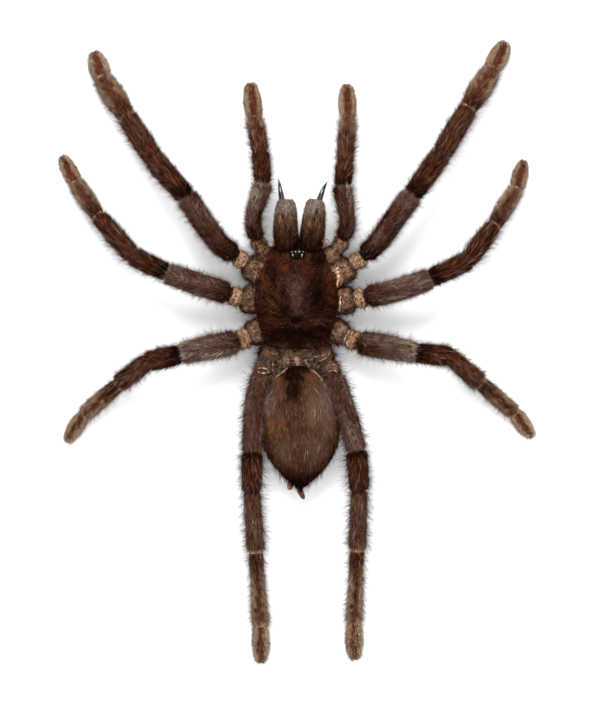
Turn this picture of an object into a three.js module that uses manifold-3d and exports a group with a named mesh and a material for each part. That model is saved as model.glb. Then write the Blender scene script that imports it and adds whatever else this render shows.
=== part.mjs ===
// A dried tarantula, spread flat and lying on its underside.
// Millimetres, +Z up. The head points along +Y. The origin is on the surface, below the middle of the span.
import * as THREE from 'three';
import { mergeVertices } from 'three/addons/utils/BufferGeometryUtils.js';
import Module from 'manifold-3d';

const wasm = await Module();
wasm.setup();

// ---- driving dimensions ----------------------------------------------------------------------------------

const CLEARANCE = 0.3; // left between two pieces that meet
const BODY_X = -0.25; // the body's middle line lies a little to the left of the span's middle

// Carapace, the shield over the front of the body.
const CARAPACE = { front: 22.6, rear: 0.6, middle: 10.4, halfWidth: 9.0, rimHeight: 7.9, topHeight: 12.6 };
// The right half of its outline from front to rear: share of the length from the front, share of halfWidth.
const CARAPACE_OUTLINE = [
  [0.0, 0.46], [0.04, 0.655], [0.13, 0.73], [0.24, 0.845], [0.37, 0.94], [0.51, 1.0],
  [0.66, 0.945], [0.81, 0.845], [0.92, 0.73], [0.985, 0.5],
];
const CARAPACE_RIM = 0.55; // thickness of the shield's edge
const DOME_POWER = 2.2; // the dome falls from top to rim with this power of the share outwards
const SHIELD_SHARES = [0.08, 0.22, 0.36, 0.5, 0.64, 0.78, 0.9]; // rings of the shield, out to the rim at 1
const CHEEK_GROOVE = { depth: 0.5, width: 0.9, frontX: 4.8, frontY: 19.4 }; // from pit to each front corner
const PIT = { y: 6.9, depth: 1.0, width: 1.1, length: 0.7 }; // the fovea, a hollow across the middle line
const HEAD_RISE = 0.7; // how far the head part stands above the rest of the shield
const HEAD_FALL = 0.35; // the share of that rise which is lost at the rim
const STERNUM = { y: 10.6, halfWidth: 4.0, halfLength: 5.4, height: 1.2, bevel: 0.5 };
// The trunk below the shield, from the shield's underside down to the sternum.
const TRUNK = {
  shieldShare: 0.72, shieldDrop: 0.6, shoulder: 1.3, shoulderHeight: 6.2, waist: 1.12, waistHeight: 3.2,
};
const STERNUM_FLAT = 0.8; // the sternum's flat lower face as a share of its size
const LIP = { y: 17.0, radius: 1.3, length: 0.8, depth: 0.9, height: 2.4 };

// Eyes: x from the middle line, y from the tubercle's middle, radius.
const EYE_TUBERCLE = { y: 21.0, halfWidth: 1.7, halfLength: 1.1, height: 0.85, sink: 0.1, rimShare: 0.8 };
const EYE_SINK = 0.3; // share of an eye's radius that is sunk in the tubercle
const EYES = [
  [0.5, 0.35, 0.34], [1.3, 0.42, 0.3], [0.62, -0.4, 0.22], [1.25, -0.3, 0.26],
];

// Pedicel, the waist.
const PEDICEL = { front: 3.0, rear: -4.6, halfWidth: 1.5, halfHeight: 1.1, height: 4.9 };

// Abdomen.
const ABDOMEN = {
  front: -2.9, rear: -29.4, frontX: 0.1, rearX: 0.75,
  halfWidth: 8.7, halfHeight: 6.7, height: 6.2, taper: 0.8,
};

// Chelicerae, the jaw bases. Places on the middle of each: base, then front end.
const CHELICERA = { baseY: 21.8, tipY: 33.0, baseHeight: 7.3, tipHeight: 6.2, depth: 1.25 };
const CHELICERA_BASE_X = { left: -2.6, right: 2.85 };
const CHELICERA_TIP_X = { left: -2.4, right: 3.9 };
const CHELICERA_HALF_WIDTH = [
  [0, 2.3], [0.12, 2.5], [0.35, 2.6], [0.6, 2.5], [0.8, 2.25], [0.92, 1.85], [1, 1.1],
];

// Fangs: base, bend and point of each, then the radius from base to point.
const FANG = {
  left: [[-3.2, 32.0, 4.9], [-3.75, 35.4, 5.3], [-4.15, 38.1, 3.6]],
  right: [[4.5, 32.0, 4.9], [5.5, 35.2, 5.3], [6.7, 37.4, 3.6]],
};
const FANG_RADIUS = [[0, 0.72], [0.35, 0.6], [0.7, 0.36], [1, 0.06]];

// Spinnerets: base, middle and end, then the radius at the base.
const SPINNERET = {
  left: { points: [[-1.2, -27.6, 4.4], [-1.35, -29.0, 4.3], [-1.5, -30.2, 4.2]], radius: 0.6 },
  right: { points: [[-0.2, -27.8, 4.8], [0.55, -30.2, 4.5], [1.5, -32.1, 4.0]], radius: 0.62 },
};
// Three short segments, the last one drawn to a point: place along the spinneret, share of its radius.
const SPINNERET_PROFILE = [
  [0, 0.9], [0.25, 1], [0.38, 0.8], [0.5, 0.95], [0.66, 0.72], [0.8, 0.74], [0.93, 0.45], [1, 0.15],
];

// Limbs. Every limb is a row of joints from the body outwards, and each segment spans some of them.
const LEG_SEGMENTS = {
  coxa: [0, 1], trochanter: [1, 2], femur: [2, 5], patella: [5, 6], tibia: [6, 7], metatarsus: [7, 8],
  tarsus: [8, 9],
};
const PALP_SEGMENTS = {
  coxa: [0, 1], trochanter: [1, 2], femur: [2, 5], patella: [5, 6], tibia: [6, 7], tarsus: [7, 8],
};
// Height of each joint's middle above the surface.
const JOINT_HEIGHTS = {
  palp: [3.9, 4.7, 6.0, 7.4, 8.6, 9.0, 8.0, 4.4, 1.6],
  leg_1: [3.8, 4.7, 6.1, 8.2, 9.8, 11.0, 9.4, 5.4, 2.2, 0.8],
  leg_2: [3.8, 4.7, 6.0, 7.9, 9.4, 10.2, 9.0, 5.0, 1.9, 0.6],
  leg_3: [3.8, 4.7, 5.9, 7.7, 9.0, 9.8, 8.9, 5.0, 1.9, 0.6],
  leg_4: [3.8, 4.7, 6.0, 7.6, 8.6, 9.2, 8.4, 4.9, 2.1, 0.8],
};
// Full width of each segment near its start, at its middle and near its end.
const WIDTHS = {
  palp: {
    coxa: [3.0, 3.9, 3.8], trochanter: [3.2, 3.6, 3.2], femur: [3.1, 3.1, 3.7], patella: [3.3, 3.6, 3.6],
    tibia: [3.4, 3.5, 3.3], tarsus: [3.5, 3.9, 2.7],
  },
  leg_1: {
    coxa: [3.2, 5.0, 5.0], trochanter: [3.3, 3.5, 3.3], femur: [3.9, 4.2, 4.3], patella: [4.0, 4.3, 4.3],
    tibia: [4.1, 4.2, 4.0], metatarsus: [3.9, 4.9, 4.0], tarsus: [4.2, 4.3, 2.8],
  },
  leg_2: {
    coxa: [3.2, 5.2, 5.4], trochanter: [3.6, 3.9, 3.6], femur: [4.4, 4.3, 4.1], patella: [3.8, 3.9, 4.0],
    tibia: [3.7, 3.8, 3.3], metatarsus: [3.2, 3.7, 3.3], tarsus: [3.3, 3.4, 2.2],
  },
  leg_3: {
    coxa: [3.0, 4.7, 4.8], trochanter: [4.0, 4.2, 4.0], femur: [4.7, 4.8, 4.1], patella: [3.9, 4.3, 4.1],
    tibia: [3.6, 3.8, 3.8], metatarsus: [3.2, 3.4, 3.3], tarsus: [3.3, 3.5, 2.3],
  },
  leg_4: {
    coxa: [3.0, 4.2, 4.2], trochanter: [3.9, 4.1, 3.9], femur: [4.0, 4.0, 3.9], patella: [4.2, 4.3, 4.0],
    tibia: [3.4, 3.4, 3.6], metatarsus: [3.0, 2.9, 3.6], tarsus: [3.3, 3.9, 2.7],
  },
};
// Where along a segment those widths are, and how the tarsus is rounded off: place, share of its last width.
const WIDTH_PLACES = [0.14, 0.5, 0.86];
const TARSUS_END = [[0.95, 0.85], [1, 0.5]];
// Depth of each segment as a share of its width.
const DEPTH = {
  coxa: 1.1, trochanter: 1.05, femur: 1.12, patella: 1.0, tibia: 1.0, metatarsus: 0.88, tarsus: 0.8,
};
const JOINT_WAIST = 0.8; // width at a joint as a share of the narrower segment's end
const SOFTENING = 1.1; // a limb's middle line turns its corners over this length either way

// Joint places, x and y, from the body outwards.
const LIMBS = {
  palp_left: [
    [-3.2, 17.5], [-7.8, 22.2], [-8.8, 24.7], [-9.7, 27.6], [-9.3, 30.8], [-7.4, 36.3], [-8.0, 43.3],
    [-9.4, 51.0], [-10.3, 59.2],
  ],
  palp_right: [
    [2.9, 17.5], [8.6, 22.2], [9.9, 24.8], [10.9, 27.6], [10.5, 30.8], [9.7, 35.8], [10.3, 41.0],
    [11.0, 51.0], [10.8, 58.9],
  ],
  leg_1_left: [
    [-4.2, 14.4], [-11.2, 19.4], [-13.6, 21.1], [-16.9, 23.3], [-20.2, 27.8], [-23.8, 33.3], [-31.0, 41.6],
    [-37.1, 51.2], [-42.8, 60.1], [-44.8, 66.2],
  ],
  leg_1_right: [
    [3.8, 14.4], [11.9, 18.9], [14.5, 21.0], [17.7, 24.0], [20.8, 28.5], [24.6, 33.7], [31.0, 42.6],
    [37.1, 52.9], [42.7, 62.1], [45.9, 68.3],
  ],
  leg_2_left: [
    [-4.5, 11.2], [-12.3, 11.6], [-14.9, 12.7], [-19.3, 14.0], [-23.7, 15.5], [-28.1, 17.0], [-35.6, 20.8],
    [-43.4, 29.6], [-48.6, 37.2], [-51.9, 43.3],
  ],
  leg_2_right: [
    [4.3, 11.0], [12.5, 11.4], [15.1, 12.0], [19.6, 12.9], [24.1, 14.2], [28.5, 15.8], [36.8, 19.7],
    [42.8, 27.6], [48.0, 35.8], [49.8, 42.3],
  ],
  leg_3_left: [
    [-4.5, 7.2], [-10.8, 3.3], [-13.2, 2.3], [-17.2, 1.4], [-21.1, 0.6], [-25.0, -0.4], [-32.4, -2.0],
    [-39.0, -7.0], [-46.8, -13.8], [-50.9, -19.8],
  ],
  leg_3_right: [
    [4.0, 7.4], [10.6, 3.3], [13.4, 2.1], [17.4, 1.4], [21.4, 0.8], [25.4, -0.2], [33.0, -0.9],
    [39.8, -6.7], [47.6, -13.3], [51.7, -18.8],
  ],
  leg_4_left: [
    [-3.2, 4.2], [-6.9, -2.1], [-7.8, -4.7], [-9.1, -10.3], [-9.6, -15.8], [-9.8, -21.4], [-9.9, -30.1],
    [-9.1, -43.3], [-8.1, -59.7], [-8.0, -68.4],
  ],
  leg_4_right: [
    [2.7, 4.4], [6.6, -2.6], [7.9, -5.0], [9.6, -10.4], [11.3, -15.7], [12.8, -21.1], [13.4, -29.8],
    [13.0, -43.0], [12.4, -59.1], [12.5, -67.7],
  ],
};

// How finely the surfaces are faceted.
const LIMB_SIDES = 10;
const BODY_SIDES = 36;
const ABDOMEN_SIDES = 28;
const ABDOMEN_RINGS = 13;
const CHELICERA_SIDES = 14;
const HORN_SIDES = 8;

// ---- shared geometry -------------------------------------------------------------------------------------

// The value at t of a line through [t, value] stations.
function along(stations, t) {
  let i = 0;
  while (i < stations.length - 2 && t > stations[i + 1][0]) {
    i += 1;
  }
  const [t0, a] = stations[i];
  const [t1, b] = stations[i + 1];
  return THREE.MathUtils.lerp(a, b, THREE.MathUtils.clamp((t - t0) / (t1 - t0), 0, 1));
}

// A closed surface over rings of equal length, with a point in the middle of the first and the last ring.
// Nothing reaches below the surface that the animal lies on.
function loft(rings) {
  const sides = rings[0].length;
  const middle = (ring) => ring.reduce((sum, p) => sum.add(p), new THREE.Vector3()).divideScalar(sides);
  const points = [middle(rings[0]), ...rings.flat(), middle(rings.at(-1))];
  const last = points.length - 1;
  const faces = [];
  for (let k = 0; k < sides; k += 1) {
    const next = (k + 1) % sides;
    faces.push(0, 1 + next, 1 + k);
    faces.push(last, last - sides + k, last - sides + next);
    for (let r = 0; r < rings.length - 1; r += 1) {
      const a = 1 + r * sides;
      const b = a + sides;
      faces.push(a + k, a + next, b + next);
      faces.push(a + k, b + next, b + k);
    }
  }
  const geometry = new THREE.BufferGeometry();
  const coordinates = points.flatMap((p) => [p.x, p.y, Math.max(p.z, 0)]);
  geometry.setAttribute('position', new THREE.Float32BufferAttribute(coordinates, 3));
  geometry.setIndex(faces);
  return geometry;
}

// A ring of an ellipse across a direction: `across` stays level, and `up` points away from the surface below.
function ringAcross(centre, direction, halfWidth, halfHeight, sides = LIMB_SIDES) {
  const across = new THREE.Vector3(-direction.y, direction.x, 0).normalize();
  const up = new THREE.Vector3().crossVectors(direction, across).normalize();
  return Array.from({ length: sides }, (_, k) => {
    const angle = (2 * Math.PI * (k + 0.5)) / sides;
    return centre.clone()
      .addScaledVector(across, halfWidth * Math.cos(angle))
      .addScaledVector(up, halfHeight * Math.sin(angle));
  });
}

// A solid for joining and cutting, with its shared corners merged.
function solidOf(geometry) {
  const bare = geometry.clone();
  bare.deleteAttribute('normal');
  bare.deleteAttribute('uv');
  const merged = mergeVertices(bare, 1e-5);
  const mesh = new wasm.Mesh({
    numProp: 3,
    vertProperties: new Float32Array(merged.attributes.position.array),
    triVerts: new Uint32Array(merged.index.array),
  });
  return new wasm.Manifold(mesh);
}

function geometryOf(solid) {
  const mesh = solid.getMesh();
  const geometry = new THREE.BufferGeometry();
  geometry.setAttribute('position', new THREE.BufferAttribute(mesh.vertProperties, 3));
  geometry.setIndex(new THREE.BufferAttribute(mesh.triVerts, 1));
  return geometry;
}

// What is left of a solid once its neighbours are cut away, without the crumbs that a cut can leave.
function clearOf(solid, neighbours) {
  const rest = neighbours.reduce((left, neighbour) => left.subtract(neighbour), solid);
  return rest.decompose().reduce((a, b) => (a.volume() > b.volume() ? a : b));
}

// ---- carapace, sternum and eyes --------------------------------------------------------------------------

function carapaceOutline() {
  const length = CARAPACE.front - CARAPACE.rear;
  const right = CARAPACE_OUTLINE.map(([t, w]) => [w * CARAPACE.halfWidth, CARAPACE.front - t * length]);
  const left = right.map(([x, y]) => [-x, y]).reverse();
  const points = [...right, ...left].map(([x, y]) => new THREE.Vector3(BODY_X + x, y, 0));
  const curve = new THREE.CatmullRomCurve3(points, true, 'catmullrom', 0.5);
  return curve.getSpacedPoints(BODY_SIDES).slice(0, BODY_SIDES).reverse();
}

// Distance in plan from a point to a cheek groove, which runs from the pit to a front corner of the shield.
function distanceToGroove(x, y) {
  const start = new THREE.Vector2(0, PIT.y);
  const run = new THREE.Vector2(CHEEK_GROOVE.frontX, CHEEK_GROOVE.frontY).sub(start);
  const place = new THREE.Vector2(Math.abs(x), y).sub(start);
  const share = THREE.MathUtils.clamp(place.dot(run) / run.lengthSq(), 0, 1);
  return place.distanceTo(run.multiplyScalar(share));
}

const bell = (distance, width) => Math.exp(-((distance / width) ** 2));

// Height of the shield: a dome from rim to top, a raised head part between the grooves, and the pit.
function carapaceHeight(x, y, share) {
  const dome = CARAPACE.rimHeight + (CARAPACE.topHeight - CARAPACE.rimHeight) * (1 - share ** DOME_POWER);
  const forward = THREE.MathUtils.smoothstep(y, PIT.y, CARAPACE.front);
  const groove = CHEEK_GROOVE.depth * bell(distanceToGroove(x, y), CHEEK_GROOVE.width) * (1 - share ** 4);
  const pit = PIT.depth * bell(x, PIT.width) * bell(y - PIT.y, PIT.length);
  return dome + HEAD_RISE * forward * (1 - HEAD_FALL * share) - groove - pit;
}

function cephalothorax(grow) {
  const outline = carapaceOutline();
  const middle = new THREE.Vector3(BODY_X, CARAPACE.middle, 0);
  const shieldRing = (share, drop) => outline.map((p) => {
    const place = middle.clone().lerp(p, share);
    place.z = carapaceHeight(place.x - BODY_X, place.y, Math.min(share, 1)) - drop;
    return place;
  });
  const underRing = (size, height) => outline.map((p) => {
    const angle = Math.atan2(p.y - middle.y, p.x - middle.x);
    const x = BODY_X + size * STERNUM.halfWidth * Math.cos(angle);
    return new THREE.Vector3(x, STERNUM.y + size * STERNUM.halfLength * Math.sin(angle), height);
  });
  const side = grow / STERNUM.halfWidth;
  const edge = 1 + grow / CARAPACE.halfWidth;
  const rings = [
    ...SHIELD_SHARES.map((share) => shieldRing(share, -grow)),
    shieldRing(edge, -grow),
    shieldRing(edge, CARAPACE_RIM + grow),
    shieldRing(TRUNK.shieldShare, CARAPACE_RIM + TRUNK.shieldDrop + grow),
    underRing(TRUNK.shoulder + side, TRUNK.shoulderHeight - grow),
    underRing(TRUNK.waist + side, TRUNK.waistHeight),
    underRing(1 + side, STERNUM.height + STERNUM.bevel),
    underRing(STERNUM_FLAT + side, STERNUM.height - grow),
  ];
  return solidOf(loft(rings.reverse()));
}

// A round swelling, stretched by scale. With detail 0 it has only the twenty faces that an eye needs.
function bump(radius, scale, place, detail = 1) {
  const geometry = new THREE.IcosahedronGeometry(radius, detail);
  geometry.scale(...scale);
  geometry.translate(...place);
  return solidOf(geometry);
}

function eyesAndLip(solid) {
  const { y, halfWidth, halfLength, height, sink, rimShare } = EYE_TUBERCLE;
  const base = carapaceHeight(0, y, rimShare) - sink;
  let whole = solid.add(bump(1, [halfWidth, halfLength, height], [BODY_X, y, base]));
  whole = whole.add(bump(LIP.radius, [1, LIP.length, LIP.depth], [BODY_X, LIP.y, LIP.height]));
  for (const [eyeX, eyeY, radius] of EYES) {
    for (const side of [-1, 1]) {
      const drop = (eyeX / halfWidth) ** 2 + (eyeY / halfLength) ** 2;
      const eyeZ = base + height * Math.sqrt(Math.max(0, 1 - drop)) - EYE_SINK * radius;
      whole = whole.add(bump(radius, [1, 1, 1], [BODY_X + side * eyeX, y + eyeY, eyeZ], 0));
    }
  }
  return whole;
}

// ---- waist, abdomen, jaws and spinnerets -----------------------------------------------------------------

function pedicel() {
  const { front, rear, halfWidth, halfHeight, height } = PEDICEL;
  const rings = [0, 0.5, 1].map((t) => {
    const centre = new THREE.Vector3(BODY_X, THREE.MathUtils.lerp(front, rear, t), height);
    return ringAcross(centre, new THREE.Vector3(0, -1, 0), halfWidth, halfHeight);
  });
  return solidOf(loft(rings));
}

// An egg, round in front and drawn to a point behind: the half width over u from 0 to 1 is sin(pi u), and
// behind the middle it is also multiplied by 1 - taper (2u - 1)^2.
function abdomen(grow) {
  const { front, rear, frontX, rearX, halfWidth, halfHeight, height, taper } = ABDOMEN;
  const rings = [];
  for (let r = 1; r < ABDOMEN_RINGS; r += 1) {
    const u = r / ABDOMEN_RINGS;
    const t = (1 - Math.cos(Math.PI * u)) / 2;
    const size = Math.sin(Math.PI * u) * (u > 0.5 ? 1 - taper * (2 * u - 1) ** 2 : 1);
    const y = THREE.MathUtils.lerp(front + grow, rear - grow, t);
    const centre = new THREE.Vector3(THREE.MathUtils.lerp(frontX, rearX, t), y, height);
    const direction = new THREE.Vector3(0, -1, 0);
    const [across, up] = [size * halfWidth + grow, size * halfHeight + grow];
    rings.push(ringAcross(centre, direction, across, up, ABDOMEN_SIDES));
  }
  return solidOf(loft(rings));
}

function chelicera(side, grow) {
  const base = new THREE.Vector3(CHELICERA_BASE_X[side], CHELICERA.baseY, CHELICERA.baseHeight);
  const tip = new THREE.Vector3(CHELICERA_TIP_X[side], CHELICERA.tipY, CHELICERA.tipHeight);
  const direction = tip.clone().sub(base).normalize();
  const rings = CHELICERA_HALF_WIDTH.map(([t, halfWidth]) => {
    const centre = base.clone().lerp(tip, t).addScaledVector(direction, t === 1 ? grow : 0);
    const halfHeight = halfWidth * CHELICERA.depth;
    return ringAcross(centre, direction, halfWidth + grow, halfHeight + grow, CHELICERA_SIDES);
  });
  return solidOf(loft(rings));
}

// A thin piece along a curve through three points.
function horn(points, radiusAt, steps) {
  const curve = new THREE.QuadraticBezierCurve3(...bezierThrough(points));
  const rings = Array.from({ length: steps + 1 }, (_, k) => {
    const t = k / steps;
    return ringAcross(curve.getPoint(t), curve.getTangent(t), radiusAt(t), radiusAt(t), HORN_SIDES);
  });
  return solidOf(loft(rings));
}

// The control points of the curve that passes its middle point halfway.
function bezierThrough(points) {
  const [start, middle, end] = points.map((p) => new THREE.Vector3(...p));
  const control = middle.clone().multiplyScalar(2).sub(start.clone().add(end).multiplyScalar(0.5));
  return [start, control, end];
}

function spinneret(side) {
  const { points, radius } = SPINNERET[side];
  return horn(points, (t) => radius * along(SPINNERET_PROFILE, t), 8);
}

// ---- limbs -----------------------------------------------------------------------------------------------

// The middle line of a limb: the straight line from joint to joint, softened by taking the mean of five
// places spread over SOFTENING either way. Its direction at a place is that from a little before to a little
// after.
function middleLine(joints) {
  const marks = [0];
  for (let i = 1; i < joints.length; i += 1) {
    marks.push(marks[i - 1] + joints[i].distanceTo(joints[i - 1]));
  }
  const onLine = (s) => {
    let i = 0;
    while (i < joints.length - 2 && s > marks[i + 1]) {
      i += 1;
    }
    return joints[i].clone().lerp(joints[i + 1], (s - marks[i]) / (marks[i + 1] - marks[i]));
  };
  const at = (s) => {
    const sum = new THREE.Vector3();
    for (const share of [-1, -0.5, 0, 0.5, 1]) {
      sum.add(onLine(s + share * SOFTENING));
    }
    return sum.divideScalar(5);
  };
  const directionAt = (s) => at(s + 0.2).sub(at(s - 0.2)).normalize();
  return { marks, at, directionAt };
}

function limb(name, grow) {
  const kind = name.replace(/_(left|right)$/, '');
  const segments = kind === 'palp' ? PALP_SEGMENTS : LEG_SEGMENTS;
  const joints = LIMBS[name].map(([x, y], k) => new THREE.Vector3(x, y, JOINT_HEIGHTS[kind][k]));
  const { marks, at, directionAt } = middleLine(joints);
  const rings = [];
  const names = Object.keys(segments);
  names.forEach((segment, n) => {
    const [start, end] = segments[segment].map((joint) => marks[joint]);
    const widths = WIDTHS[kind][segment];
    const addRing = (t, width) => {
      const s = THREE.MathUtils.lerp(start, end, t);
      const half = width / 2;
      rings.push(ringAcross(at(s), directionAt(s), half + grow, half * DEPTH[segment] + grow));
    };
    const narrower = n === 0 ? widths[0] : Math.min(widths[0], WIDTHS[kind][names[n - 1]][2]);
    addRing(0, narrower * JOINT_WAIST);
    WIDTH_PLACES.forEach((t, k) => addRing(t, widths[k]));
    if (segment === 'tarsus') {
      TARSUS_END.forEach(([t, share]) => addRing(t, share * widths[2]));
    }
  });
  return solidOf(loft(rings));
}

// ---- the animal ------------------------------------------------------------------------------------------

const specimen = new THREE.Group();

function place(name, solid, color, roughness) {
  const material = new THREE.MeshStandardMaterial({ color, roughness, metalness: 0 });
  const mesh = new THREE.Mesh(geometryOf(solid), material);
  mesh.name = name;
  specimen.add(mesh);
}

const SHIELD_BROWN = 0x3c1f14;
const ABDOMEN_BROWN = 0x5f4734;
const LEG_BROWN = 0x523a2e;
const JAW_BROWN = 0x6f6253;
const FANG_BLACK = 0x0b0908;
const SPINNERET_BROWN = 0x6a3a26;
const WAIST_TAN = 0x9c7350;

const prosomaRoom = cephalothorax(CLEARANCE);
const abdomenRoom = abdomen(CLEARANCE);
place('cephalothorax', eyesAndLip(cephalothorax(0)), SHIELD_BROWN, 0.5);
place('abdomen', abdomen(0), ABDOMEN_BROWN, 0.85);
place('pedicel', clearOf(pedicel(), [prosomaRoom, abdomenRoom]), WAIST_TAN, 0.7);

for (const side of ['left', 'right']) {
  const jaw = clearOf(chelicera(side, 0), [prosomaRoom]);
  place(`chelicera_${side}`, jaw, JAW_BROWN, 0.8);
  const fang = horn(FANG[side], (t) => along(FANG_RADIUS, t), 7);
  place(`fang_${side}`, clearOf(fang, [chelicera(side, CLEARANCE)]), FANG_BLACK, 0.15);
  place(`spinneret_${side}`, clearOf(spinneret(side), [abdomenRoom]), SPINNERET_BROWN, 0.6);

  const around = [prosomaRoom, abdomenRoom, chelicera(side, CLEARANCE)];
  for (const kind of ['palp', 'leg_1', 'leg_2', 'leg_3', 'leg_4']) {
    const name = `${kind}_${side}`;
    const label = kind === 'palp' ? `pedipalp_${side}` : name;
    place(label, clearOf(limb(name, 0), around), LEG_BROWN, 0.8);
    around.push(limb(name, CLEARANCE));
  }
}

export default specimen;
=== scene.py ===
# %% [markdown]
# # A dried tarantula, laid flat
#
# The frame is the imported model: nineteen plain solids, one for each piece of the animal. This lesson dresses
# them. Every piece of the body is worked out again as a fine surface from the same driving sizes as the
# solids, so it lies exactly where its solid lies. Then it gets a skin, and the hairs are put on as mesh.

import bpy
import numpy as np
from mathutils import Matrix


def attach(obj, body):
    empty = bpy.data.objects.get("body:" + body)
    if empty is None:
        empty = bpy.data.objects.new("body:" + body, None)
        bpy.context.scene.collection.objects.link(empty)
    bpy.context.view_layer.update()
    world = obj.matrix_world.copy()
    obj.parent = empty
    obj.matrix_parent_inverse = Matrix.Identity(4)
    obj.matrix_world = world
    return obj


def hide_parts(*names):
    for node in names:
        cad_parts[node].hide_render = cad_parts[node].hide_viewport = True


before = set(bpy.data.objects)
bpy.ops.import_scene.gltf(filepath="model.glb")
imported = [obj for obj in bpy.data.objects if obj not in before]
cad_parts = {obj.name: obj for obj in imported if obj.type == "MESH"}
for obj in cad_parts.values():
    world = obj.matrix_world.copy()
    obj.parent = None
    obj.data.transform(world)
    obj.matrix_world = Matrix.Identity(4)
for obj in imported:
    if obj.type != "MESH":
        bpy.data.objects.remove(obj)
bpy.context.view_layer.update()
MM = 0.001  # every size below is in millimetres, and the scene is in metres

# %% [markdown]
# ## The camera, the ground and the light
#
# The animal is seen from straight above. A long lens from half a metre keeps the perspective small. The ground
# is a plain white sheet, and a wide soft light beyond the head lets the shadows fall towards the tail.

# %% Camera
CAMERA_PLACE = (0.55, -1.045, 523.6)
LENS, SENSOR = 120.0, 36.0

camera_data = bpy.data.cameras.new("camera")
camera_data.lens = LENS
camera_data.sensor_width = SENSOR
camera_data.clip_end = 10
camera = bpy.data.objects.new("camera", camera_data)
camera.location = [v * MM for v in CAMERA_PLACE]
bpy.context.collection.objects.link(camera)
bpy.context.scene.camera = camera
bpy.context.scene.view_settings.view_transform = "Standard"
print("camera height in mm:", CAMERA_PLACE[2])

# %% Light
EXPOSURE = 1.6  # the light over what white board needs, so that only deep shadows show on the board
ROOM_COLOR, ROOM_STRENGTH = (0.95, 0.96, 0.975, 1.0), 1.25


def area_light(name, place, size, power):
    """A square soft light at `place`, turned towards the origin; sizes in mm, power in watts."""
    data = bpy.data.lights.new(name, "AREA")
    data.size = size * MM
    data.energy = power
    light = bpy.data.objects.new(name, data)
    light.location = [v * MM for v in place]
    light.rotation_euler = light.location.to_track_quat("Z", "Y").to_euler()
    bpy.context.collection.objects.link(light)


area_light("key", (-60, 420, 520), 300, 4.6)
area_light("fill", (160, -260, 600), 700, 1.6)
world = bpy.data.worlds.new("room")
world.use_nodes = True
world.node_tree.nodes["Background"].inputs["Color"].default_value = ROOM_COLOR
world.node_tree.nodes["Background"].inputs["Strength"].default_value = ROOM_STRENGTH
bpy.context.scene.world = world

# %% [markdown]
# ## Materials as expressions
#
# A material is a graph of nodes, but most of it is arithmetic on masks. A small class wraps an output socket
# and overloads + - and *, so that `1 - mask * 0.5` adds the Math nodes itself. Every other node comes from one
# method, `node`, which takes the node's type, its settings and the values or wires of its inputs. A colour is
# written as it looks on a screen, from 0 to 255.


# %% Wires and paints
def rgb(red, green, blue):
    """A colour given as it looks on a screen under this light, 0 to 255, as the linear values of a shader."""
    share = np.array([red, green, blue]) / 255
    linear = np.where(share < 0.04045, share / 12.92, ((share + 0.055) / 1.055) ** 2.4)
    return (*(linear / EXPOSURE).tolist(), 1.0)


class Wire:
    """An output socket of a paint. Arithmetic with wires and numbers adds Math nodes to the paint."""

    def __init__(self, paint, socket):
        self.paint = paint
        self.socket = socket

    def math(self, operation, *values):
        return self.paint.node("ShaderNodeMath", {"operation": operation}, dict(enumerate(values)))

    def __add__(self, other):
        return self.math("ADD", self, other)

    def __sub__(self, other):
        return self.math("SUBTRACT", self, other)

    def __rsub__(self, other):
        return self.math("SUBTRACT", other, self)

    def __mul__(self, other):
        return self.math("MULTIPLY", self, other)

    __radd__ = __add__
    __rmul__ = __mul__

    def step(self, low, high):
        """0 below low, 1 above high and a smooth rise between them."""
        inputs = {"Value": self, "From Min": low, "From Max": high}
        return self.paint.node("ShaderNodeMapRange", {"interpolation_type": "SMOOTHSTEP"}, inputs)


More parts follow.
